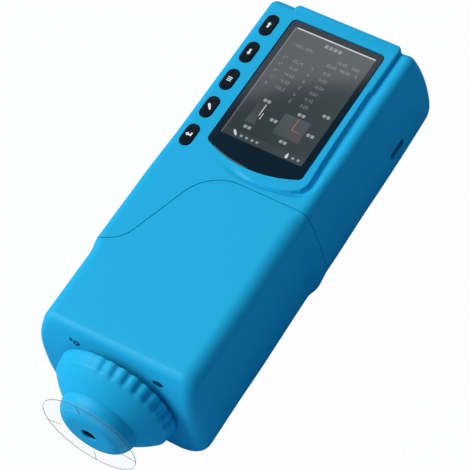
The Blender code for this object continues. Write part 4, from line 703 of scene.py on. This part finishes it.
def ink_oval(name, x, z, width, height, rise=MARK_RISE):
    """A thin oval laid on the domed face."""
    select_nothing()
    slope = LEAN_POWER * FACE_LEAN / (HEIGHT - CREST_HEIGHT) * (
        (z - CREST_HEIGHT) / (HEIGHT - CREST_HEIGHT)) ** (LEAN_POWER - 1)
    out = Vector((0, -1, slope)).normalized()
    middle = Vector((x, FACE_Y + face_lean(z), z)) + out * (rise - MARK_THICKNESS / 2)
    bpy.ops.mesh.primitive_cylinder_add(
        vertices=32, radius=1, depth=1, scale=(width / 2, height / 2, MARK_THICKNESS),
        location=middle, rotation=out.to_track_quat("Z", "Y").to_euler())
    bpy.ops.object.transform_apply()
    return named(name)


settle(ink_oval("lock_mark_tight", 20.4 * MM, 50 * MM, 5 * MM, 2.3 * MM), ink, "housing",
       "blue_soft_touch")
loose = ink_oval("lock_mark_loose", -18.8 * MM, 50.6 * MM, 3.3 * MM, 2.3 * MM)
carve(loose, ink_oval("ring_hole", -18.8 * MM, 50.6 * MM, 1.5 * MM, 0.8 * MM, HOLE_RISE))
settle(loose, ink, "housing", "blue_soft_touch")
settle(ink_oval("lock_mark_dot", -21.5 * MM, 51.2 * MM, 1.8 * MM, 1.6 * MM), ink, "housing",
       "blue_soft_touch")

# Rear housing: the half that carries the display, moulded and coated as the front shell.
# It meets the grip at the wavy seam, and a groove sets off the raised display platform.
rear_housing = own_copy(whole_body, "rear_housing_coat")
bpy.data.objects.remove(whole_body, do_unlink=True)
carve(rear_housing, outline_block("seam_cut", grip_outline(SEAM_GAP / 2), -MARGIN,
                                  HEIGHT + MARGIN))
platform = outline_block("platform", round_oblong(
    51.6 * MM, 27 * MM, 2.4 * MM, (1.2 * MM, 88.1 * MM)), 51 * MM, HEIGHT)
round_edges(platform, 1 * MM, 4)
carve(rear_housing, platform, "UNION")

GLASS_REAR_Y, GLASS_FRONT_Y, GLASS_CORNER_Y = 94.2 * MM, 21.3 * MM, 26.5 * MM
GLASS_HALF, GLASS_X, GLASS_ROUND, GLASS_DRAWN_IN = 22.7 * MM, 1.1 * MM, 2.5 * MM, 0.7 * MM
FRONT_LEFT_ROUND, FRONT_RIGHT_ROUND = 2.8 * MM, 1.8 * MM
LEFT_ARC_END, RIGHT_ARC_END, PANEL_TOP = 2 * MM, 1.4 * MM, 57.3 * MM


def panel_outline(grow):
    """Straight rear and sides, drawn in a little at the right, and a front edge that bows."""
    half, radius, rear = GLASS_HALF + grow, GLASS_ROUND + grow, GLASS_REAR_Y + grow
    points = []
    for side, start in ((1, 0), (-1, 90)):
        middle = GLASS_X + side * (half - radius) - (GLASS_DRAWN_IN if side == 1 else 0)
        for step in range(9):
            angle = math.radians(start + 90 * step / 8)
            points.append((middle + radius * math.cos(angle),
                           rear - radius + radius * math.sin(angle)))
    bow = GLASS_CORNER_Y - GLASS_FRONT_Y
    sweep = (GLASS_HALF ** 2 + bow ** 2) / (2 * bow) + grow
    widest = math.asin(half / sweep)
    centre_y = GLASS_FRONT_Y + sweep - grow
    corner = Vector((half, centre_y - sweep * math.cos(widest)))
    inward = Vector((-math.cos(widest), -math.sin(widest)))
    left, right = (round_corner(corner, Vector((0, 1)), inward, radius + grow)
                   for radius in (FRONT_LEFT_ROUND, FRONT_RIGHT_ROUND))
    points += [(GLASS_X - x, y) for x, y in left]
    for step in range(33):
        angle = between(LEFT_ARC_END / sweep - widest, widest - RIGHT_ARC_END / sweep, step / 32)
        points.append((GLASS_X + sweep * math.sin(angle), centre_y - sweep * math.cos(angle)))
    return points + [(GLASS_X + x, y) for x, y in reversed(right)]


carve(rear_housing, outline_block("panel_cut", panel_outline(GAP), 56 * MM, 60 * MM))
carve(rear_housing, cube_between("window_cut", (-18.7 * MM, 31.95 * MM, 50 * MM),
                                 (20.5 * MM, 91.05 * MM, 56.5 * MM)))
KEY_X, KEY_Y, KEY_PITCH = -29.3 * MM, 24.7 * MM, 15.45 * MM
KEY_WIDTH, KEY_LENGTH, KEY_ROUND = 5.3 * MM, 10.9 * MM, 2.64 * MM
for place in range(5):
    carve(rear_housing, outline_block("key_cut", round_oblong(
        KEY_WIDTH + 2 * GAP, KEY_LENGTH + 2 * GAP, KEY_ROUND + GAP,
        (KEY_X, KEY_Y + KEY_PITCH * place)), 50 * MM, HEIGHT + 2 * MM))
DOOR_HALF, HINGE_Y, HINGE_RADIUS, DOOR_END_Y = 22 * MM, 21.5 * MM, 1 * MM, 87 * MM
carve(rear_housing, cube_between(
    "door_cut", (-DOOR_HALF - GAP, HINGE_Y - HINGE_RADIUS - GAP, -2 * MM),
    (DOOR_HALF + GAP, DOOR_END_Y + GAP, 4.5 * MM)))
carve(rear_housing, cube_between("switch_cut", (33 * MM, 67.5 * MM, 26.05 * MM),
                                 (42 * MM, 77.5 * MM, 29.75 * MM)))
low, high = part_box("port_cover")
carve(rear_housing, cube_between("cover_cut", (-42 * MM, 58 * MM, 30 * MM),
                                 (low.x + 1.3 * MM, 84 * MM, 42 * MM)))
soften(rear_housing)
settle(rear_housing, blue.material, "housing", "blue_soft_touch", "rear_housing")

# Display panel: one sheet of black-backed acrylic let into the platform, polished, with a
# ground edge. The display shows through its middle.
gloss = Finish("panel_gloss", {"Roughness": 0.06, "IOR": 1.5, "Specular IOR Level": 0.42})
gloss.vary("Base Color", gloss.blend(gloss.noise(40), (0.004, 0.011, 0.02, 1),
                                     (0.005, 0.013, 0.024, 1)))
panel = outline_block("display_panel", panel_outline(0), PANEL_TOP - 1 * MM, PANEL_TOP)
round_edges(panel, 0.25 * MM, 3)
soften(panel, 12)
settle(panel, gloss.material, "housing", "black_gloss", "display_glass")

# Display picture: the lit image under the panel, drawn as a film just above the polish. It
# shows a table of readings, a gauge, a colour chart and a bar of signs, lit dim and grey.
def glowing(name):
    """A dim lit surface under polish, whose glow is still to be given."""
    finish = Finish(name, {"Roughness": 0.06, "IOR": 1.7, "Base Color": (0.01, 0.01, 0.01, 1),
                           "Emission Strength": 1.0})
    finish.vary("Roughness", 0.05 + 0.02 * finish.noise(300))
    return finish


def lit(name, left, right=None):
    """A glow that may change a little from the left to the right."""
    finish = glowing(name)
    finish.vary("Emission Color", finish.blend(finish.ramp("X", -20, 22), (*left, 1),
                                               (*(right or left), 1)))
    return finish.material


WINDOW_X, WINDOW_Y, WINDOW_WIDTH, WINDOW_LENGTH = 0.9 * MM, 61.5 * MM, 39.2 * MM, 59.2 * MM
FILM_SUNK, FILM_PROUD, LAYER = 0.04 * MM, 0.02 * MM, 0.02 * MM


def drawn(name, points, layer=0):
    """A thin filled shape on the panel; each layer lies on the one below."""
    level = PANEL_TOP + LAYER * layer
    return outline_block(name, points, level - FILM_SUNK, level + FILM_PROUD)


def oblong(x, y, width, length):
    """The corners of a rectangle round a place given in mm."""
    return [((x + width * i / 2) * MM, (y + length * j / 2) * MM)
            for i, j in ((1, 1), (-1, 1), (-1, -1), (1, -1))]


def figure(signs, x, y, size):
    """Printed digits, as a flat mesh on the panel."""
    select_nothing()
    bpy.ops.object.text_add(location=(x * MM, y * MM, PANEL_TOP + 0.05 * MM))
    lettering = bpy.context.object.data
    lettering.body, lettering.size = signs, size * MM
    lettering.extrude, lettering.resolution_u = 0.01 * MM, 3
    bpy.ops.object.convert(target="MESH")
    bpy.ops.object.transform_apply()
    return bpy.context.object


def joined(name, pieces):
    select_only(*pieces)
    bpy.ops.object.join()
    return named(name)


def show(piece, glow):
    settle(piece, glow, "housing", "black_gloss")


show(drawn("display_film", round_oblong(WINDOW_WIDTH, WINDOW_LENGTH, 0.3 * MM,
                                        (WINDOW_X, WINDOW_Y), 3)),
     lit("film_glow", (0.016, 0.02, 0.022), (0.036, 0.044, 0.044)))
show(drawn("display_bar", oblong(0.9, 33.85, 38.8, 3.5), 1),
     lit("bar_glow", (0.022, 0.03, 0.036), (0.045, 0.055, 0.058)))

rows = (("L*", "52.14", "L", "0.01"), ("a*", "-3.27", "a", "0.02"),
        ("b*", "14.60", "b", "-0.04"), ("C*", "15.02", "C", "0.03"), ("h", "102.5", "h", "0.12"),
        ("", "", "E", "0.05"))
dim_marks = [figure(*place) for place in (
    ("1", -15.2, 82.3, 2), ("025 - 0381", -13.6, 82.3, 2), ("10.45", 6.4, 82.2, 2.2),
    ("0:65", 13.6, 82.2, 2.2), ("23.65", 3.2, 79, 2.2), ("08:30", 9.6, 79, 2.2),
    ("%", 16.6, 79, 2.2))]
for place in range(4):
    dim_marks.append(drawn("title_mark", oblong(-1.6 + 2.2 * place, 87.7, 1.5, 1.7), 2))
for place, (sign, number, second_sign, second_number) in enumerate(rows):
    y = 74.9 - 3.62 * place
    for signs, x in ((sign, -15.4), (number, -10.6), (second_sign, -1.4), (second_number, 4.2)):
        if signs:
            dim_marks.append(figure(signs, x, y, 2.2))
show(joined("display_readings", dim_marks),
     lit("reading_glow", (0.19, 0.2, 0.2), (0.22, 0.23, 0.23)))

bright_marks = []
for x, y in ((-9.3, 53.3), (-9.8, 38.6), (7.3, 53.4), (-1.7, 46.2), (15.9, 46.3), (7.4, 38.7),
             (16.9, 57.3)):
    for side in (-1, 1):
        bright_marks.append(drawn("label_mark", oblong(x + side * 0.95, y, 1.3, 1.5), 2))
        bright_marks.append(drawn("label_stroke", oblong(x + side * 0.95, y + 0.2, 1.7, 0.3), 3))
for x in (-9.7, -7.1, -4.4, -2.1, 15.3, 17.8):
    bright_marks.append(drawn("bar_mark", oblong(x, 33.8, 1.1, 1.1), 3))
show(joined("display_labels", bright_marks), lit("label_glow", (0.3, 0.31, 0.31)))


def placed(corners, centre=(0, 0)):
    """Corners given in mm about a centre, as points."""
    return [(centre[0] + x * MM, centre[1] + y * MM) for x, y in corners]


white_marks = [
    drawn("pen_sign", placed(((-14.2, 35.2), (-13.6, 35.5), (-12.4, 34.5), (-11.6, 33.2),
                              (-12.1, 32.9), (-13.4, 33.9))), 3),
    drawn("drop_sign", placed(((12.4, 35.4), (12.9, 34.2), (13.1, 33.3), (12.8, 32.6),
                               (12.2, 32.5), (11.8, 33), (11.8, 33.8))), 3),
    drawn("gauge_needle", oblong(-8.6, 48.6, 0.35, 6), 2),
    drawn("gauge_bracket", oblong(-7.4, 45.8, 0.3, 3.4), 2)]
show(joined("display_signs", white_marks), lit("sign_glow", (0.62, 0.63, 0.62)))
# Painted highlights: a bright glowing line along the display window's rear edge and a dim one
# down its left edge, standing in for light caught by the window's edges.
show(drawn("display_rear_edge_highlight", oblong(1.3, 90.75, 38, 0.6), 2),
     lit("edge_painted_highlight", (0.53, 0.52, 0.51)))
show(drawn("display_left_edge_highlight", oblong(-18.35, 61.5, 0.45, 58.6), 2),
     lit("side_painted_highlight", (0.13, 0.12, 0.115)))

gauge_glow = glowing("gauge_glow")
gauge_glow.vary("Emission Color", gauge_glow.blend(
    gauge_glow.ramp("Y", 40.9, 51.6), (0.06, 0.065, 0.068, 1), (0.03, 0.032, 0.034, 1)))
show(drawn("display_gauge", oblong(-10.3, 46.2, 4.4, 10.6), 1), gauge_glow.material)

chart_glow = glowing("chart_glow")
back = chart_glow.ramp("Y", 40.9, 51.6)
chart_glow.vary("Emission Color", chart_glow.blend(
    chart_glow.ramp("X", 0.9, 13.2),
    chart_glow.blend(back, (0.05, 0.062, 0.05, 1), (0.06, 0.085, 0.075, 1)),
    chart_glow.blend(back, (0.09, 0.06, 0.075, 1), (0.065, 0.075, 0.09, 1))))
show(drawn("display_chart", oblong(7.05, 46.2, 12.4, 10.8), 1), chart_glow.material)
show(joined("display_pointer", [drawn("pointer_rise", oblong(7.5, 48.5, 0.35, 6.2), 2),
                                drawn("pointer_run", oblong(9.4, 45.4, 4.2, 0.25), 2)]),
     lit("pointer_glow", (0.4, 0.2, 0.09), (0.3, 0.12, 0.09)))

# Keys: five obround caps in glossy black with rounded edges, printed with white signs: a return
# arrow, a pen, a list and two arrows.
key_gloss = grained("key_gloss", (0.003, 0.007, 0.012), (0.005, 0.01, 0.017), 0.28, 0.08, 2200,
                    0.005 * MM, {"Specular IOR Level": 0.14})
white_ink = grained("white_ink", (0.85, 0.86, 0.86), (0.8, 0.81, 0.81), 0.4, 0.1, 2500,
                    0.002 * MM)
arrow = [(0, 1.5), (-0.95, 0.35), (-0.45, 0.35), (-0.45, -1.5), (0.45, -1.5), (0.45, 0.35),
         (0.95, 0.35)]
turned_arrow = [(-1.75, -0.15), (-0.6, 0.85), (-0.6, 0.2), (0.45, 0.1), (0.45, 1.05),
                (1.15, 1.05), (1.15, -0.75), (-0.6, -0.6), (-0.6, -1.15)]
pen = [(-0.68, 1.49), (-0.06, 1.08), (0.96, -0.53), (1.22, -1.21), (0.82, -1.51), (0.24, -1.07),
       (-1.02, 0.36), (-1.24, 1.07)]
bars = [[(-1, level - 0.22), (1, level - 0.22), (1, level + 0.22), (-1, level + 0.22)]
        for level in (0.85, 0, -0.85)]
signs = ([turned_arrow], [pen], bars, [[(-x, -y) for x, y in arrow]], [arrow])
KEY_TOP = 57.9 * MM
key_bodies = ("return_key", "pen_key", "menu_key", "down_key", "up_key")
key_nodes = ("key_return", "key_pen", "key_menu", "key_down", "key_up")
for place, (body, node) in enumerate(zip(key_bodies, key_nodes)):
    middle = (KEY_X, KEY_Y + KEY_PITCH * place)
    cap = outline_block(node + "_cap", round_oblong(KEY_WIDTH, KEY_LENGTH, KEY_ROUND, middle),
                        54 * MM, KEY_TOP)
    round_edges(cap, 0.6 * MM, 6)
    soften(cap, 12)
    settle(cap, key_gloss, body, "black_gloss", node)
    prints = [outline_block(node + "_stroke", placed(stroke, middle), KEY_TOP - 0.04 * MM,
                            KEY_TOP + 0.02 * MM) for stroke in signs[place]]
    settle(joined(node + "_sign", prints), white_ink, body, "black_gloss")

# Power slider: a dark blue moulded thumb piece in the slot of the right-hand side, with three
# grip grooves across its face.
low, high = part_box("power_slider")
slider = cube_between("slider_thumb", low, high)
round_edges(slider, 0.35 * MM, 3)
for step in (-1, 0, 1):
    y = (low.y + high.y) / 2 + step * 1.2 * MM
    carve(slider, rod_between("thumb_groove", (high.x + 0.12 * MM, y, low.z - 1 * MM),
                              (high.x + 0.12 * MM, y, high.z + 1 * MM), 0.4 * MM, 16))
soften(slider)
slider_blue = grained("slider_blue", (0.002, 0.06, 0.14), (0.004, 0.07, 0.16), 0.5, 0.15, 1800,
                      0.02 * MM)
settle(slider, slider_blue, "switch_slider", "black_moulding", "power_slider")

# Socket cover: a flap of soft moulded rubber let into the left side, with a nail notch at its
# top and two grooves.
low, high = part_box("port_cover")
cover = cube_between("cover_flap", low, high)
round_edges(cover, 0.4 * MM, 3)
middle_y = (low.y + high.y) / 2
carve(cover, rod_between("nail_notch", (low.x - 1 * MM, middle_y, high.z + 1.4 * MM),
                         (high.x + 1 * MM, middle_y, high.z + 1.4 * MM), 2.6 * MM, 32))
for level in (0.3, 0.6):
    z = low.z + (high.z - low.z) * level
    carve(cover, rod_between("flap_groove", (low.x - 0.15 * MM, low.y + 3 * MM, z),
                             (low.x - 0.15 * MM, high.y - 3 * MM, z), 0.4 * MM, 16))
soften(cover)
cover_rubber = grained("cover_rubber", (0.02, 0.02, 0.022), (0.032, 0.032, 0.034), 0.75, 0.15,
                       1600, 0.03 * MM)
settle(cover, cover_rubber, "socket_cover", "silicone", "port_cover")

# Trigger: a rounded button under the grip, moulded and coated as the shells. Its flange holds
# it behind the opening, and it has three finger grooves.
trigger = outline_block("trigger_face", round_oblong(
    TRIGGER_WIDTH, TRIGGER_LENGTH, TRIGGER_ROUND, (0, TRIGGER_Y)), 0.8 * MM, 3.4 * MM)
round_edges(trigger, 0.5 * MM, 4)
carve(trigger, outline_block("trigger_flange", round_oblong(
    TRIGGER_WIDTH + 3 * MM, TRIGGER_LENGTH + 3 * MM, TRIGGER_ROUND, (0, TRIGGER_Y)),
    2.8 * MM, 3.8 * MM), "UNION")
carve(trigger, rod_between("trigger_stem", (0, TRIGGER_Y, 3.3 * MM), (0, TRIGGER_Y, 5 * MM),
                           2.5 * MM, 40), "UNION")
for step in (-1, 0, 1):
    y = TRIGGER_Y + step * 4.5 * MM
    carve(trigger, rod_between("finger_groove", (-6 * MM, y, 0.5 * MM), (6 * MM, y, 0.5 * MM),
                               0.9 * MM, 24))
soften(trigger)
settle(trigger, blue.material, "trigger", "blue_soft_touch", "trigger_button")

# Battery door: a flat coated plate under the rear half that swings on a rod along its front
# edge, with a finger recess at the rear.
door = cube_between("door_plate", (-DOOR_HALF, HINGE_Y, 0.3 * MM),
                    (DOOR_HALF, DOOR_END_Y, 2.3 * MM))
round_edges(door, 0.4 * MM, 3)
carve(door, rod_between("door_hinge", (-DOOR_HALF, HINGE_Y, 1.3 * MM),
                        (DOOR_HALF, HINGE_Y, 1.3 * MM), HINGE_RADIUS, 40), "UNION")
carve(door, outline_block("finger_recess", round_oblong(16 * MM, 6 * MM, 2.9 * MM,
                                                        (0, 79 * MM)), -1 * MM, 1.1 * MM))
for step in range(3):
    y = (64 + 2.4 * step) * MM
    carve(door, rod_between("grip_line", (-6 * MM, y, 0.1 * MM), (6 * MM, y, 0.1 * MM),
                            0.55 * MM, 16))
soften(door)
settle(door, blue.material, "door", "blue_soft_touch", "battery_door")

# Nose cone: a grip ring with soft flutes that runs out into a smooth cone, moulded and coated
# as the shells. It turns on the collar to lock and free the tip.
def lathe(name, profile, count, shape=None):
    """A tube rolled round the measuring axis from rings of (radius, depth) in mm."""
    select_nothing()
    bpy.ops.mesh.primitive_grid_add(x_subdivisions=count, y_subdivisions=len(profile),
                                    size=0.05)
    piece = named(name)
    for index, vertex in enumerate(piece.data.vertices):
        radius, depth = profile[(index // (count + 1)) % len(profile)]
        angle = 2 * math.pi * (index % (count + 1)) / count
        if shape:
            radius = shape(radius, depth, angle)
        vertex.co = (radius * MM * math.sin(angle), TIP_Y + depth * MM,
                     AXIS_Z + radius * MM * math.cos(angle))
    edit_all()
    bpy.ops.mesh.remove_doubles(threshold=0.01 * MM)
    close_outwards()
    return piece


FLUTES_START, FLUTE_DEPTH, CAP_RADIUS, CAP_DEPTH = 24, 0.9, 17.35, 8.15  # in mm


def rib(radius, depth, angle):
    """Soft flutes in two finger grips: deepest at the ring's back, fading up the cone."""
    if radius < FLUTES_START:
        return radius
    degrees = (math.degrees(angle) + 90) % 180 - 90
    grip = ease((degrees + 18) / 26) * ease((112 - degrees) / 26 if degrees > 0 else 1)
    wave = 0.5 - 0.5 * math.cos(math.radians(30 * (degrees - 7.3)))
    return radius - FLUTE_DEPTH * grip * ease((depth - 14) / 4.5) * wave ** 1.5


cone_profile = [(14, 8.22), (CAP_RADIUS, 8.22)]
cone_profile += [(between(17.5, 26.1, step / 16) + 0.5 * math.sin(math.pi * step / 16),
                  between(8.3, 16, step / 16)) for step in range(17)]
cone_profile += [(between(26.3, 27, ease(step / 6)), between(16.5, 21.8, step / 6))
                 for step in range(7)]
cone_profile += [(26.7, 22.1), (26, 22.3), (17.9, 22.3), (17.9, 16.9), (14, 16.9)]
cone = lathe("nose_cone_coat", cone_profile, 480, rib)
soften(cone)
settle(cone, blue.material, "nose", "blue_soft_touch", "nose_cone")

# Nose cap: the domed tip that meets the sample, moulded and coated as the cone that holds it.
# Its port opens into the black light tube.
cap_profile = [(9, 8.1), (9, 1), (3.4, 1), (3.4, 0.2), (3.6, 0)]
for step in range(19):
    angle = math.radians(90) * step / 18
    cap_profile.append((between(9.2, CAP_RADIUS, math.sin(angle)),
                        CAP_DEPTH * (1 - math.cos(angle))))
tip = lathe("nose_cap_coat", cap_profile, 160)
soften(tip)
settle(tip, blue.material, "tip", "blue_soft_touch", "nose_cap")

# Nose collar, seal and collar screws: the fixed tube that the nose turns on, clamped behind
# the domed face by two plated screws, with a felt ring against stray light.
collar = lathe("nose_collar_tube", (
    (16, 17.3), (17.6, 17.3), (17.6, 27), (20, 28.2), (25.3, 28.2), (25.3, 28.8), (19, 28.8),
    (19, 28), (16, 27)), 96)
carve(collar, cube_between("collar_flat", (-26 * MM, -80 * MM, 54 * MM),
                           (26 * MM, -70 * MM, 60 * MM)))
soften(collar)
settle(collar, moulded_black, "housing", "black_moulding", "nose_collar")
seal = lathe("nose_felt_ring", ((18.1, 22.45), (22, 22.45), (22, 22.9), (18.1, 22.9)), 96)
settle(seal, black_felt, "housing", "black_moulding", "light_seal")
for name, side in (("collar_screw_1", 1), ("collar_screw_2", -1)):
    foot, inward = Vector((side * 11.85, -74.5, 32 + side * 20.5)) * MM, Vector((0, MM, 0))
    screw = rod_between(name + "_turned", foot, foot + 0.9 * inward, 1.5 * MM, 24)
    carve(screw, rod_between("shank", foot + 0.5 * inward, foot + 2.3 * inward, 0.8 * MM, 24),
          "UNION")
    carve(screw, rod_between("socket", foot - 0.5 * inward, foot + 0.4 * inward, 0.6 * MM, 6))
    soften(screw)
    settle(screw, plated_steel, "housing", "steel", name)

# Locating plate: a thin disc of clear acrylic that clips round the tip. Its cut edge and the
# four engraved hairlines, by which it's aimed, show as fine grey lines.
clear = Finish("clear_plate", {"Roughness": 0.05, "Alpha": 0.035})
clear.vary("Base Color", clear.blend(clear.noise(30), (0.7, 0.85, 0.95, 1), (0.8, 0.9, 1, 1)))
disc = lathe("plate_disc", ((14.6, 0.4), (22, 0.4), (22, 1.5), (14.6, 1.5)), 160)
soften(disc)
settle(disc, clear.material, "tip", "clear_plate", "locating_plate")
hairline = Finish("plate_line", {"Roughness": 0.4, "Alpha": 0.5, "Specular IOR Level": 0.2})
hairline.vary("Base Color", hairline.blend(hairline.noise(60), (0.12, 0.11, 0.12, 1),
                                           (0.2, 0.18, 0.2, 1)))
lines = [lathe("plate_rim", ((21.8, 0.3), (22, 0.3), (22, 0.55), (21.8, 0.55)), 160)]
hub = Vector((0, TIP_Y + 0.42 * MM, AXIS_Z))
for degrees in (93, -166, -94, -11):
    arm = Vector((math.cos(math.radians(degrees)), 0, math.sin(math.radians(degrees)))) * MM
    lines.append(rod_between("hairline", hub + arm * 15, hub + arm * 21.9, 0.13 * MM, 8))
settle(joined("plate_lines", lines), hairline.material, "tip", "clear_plate")
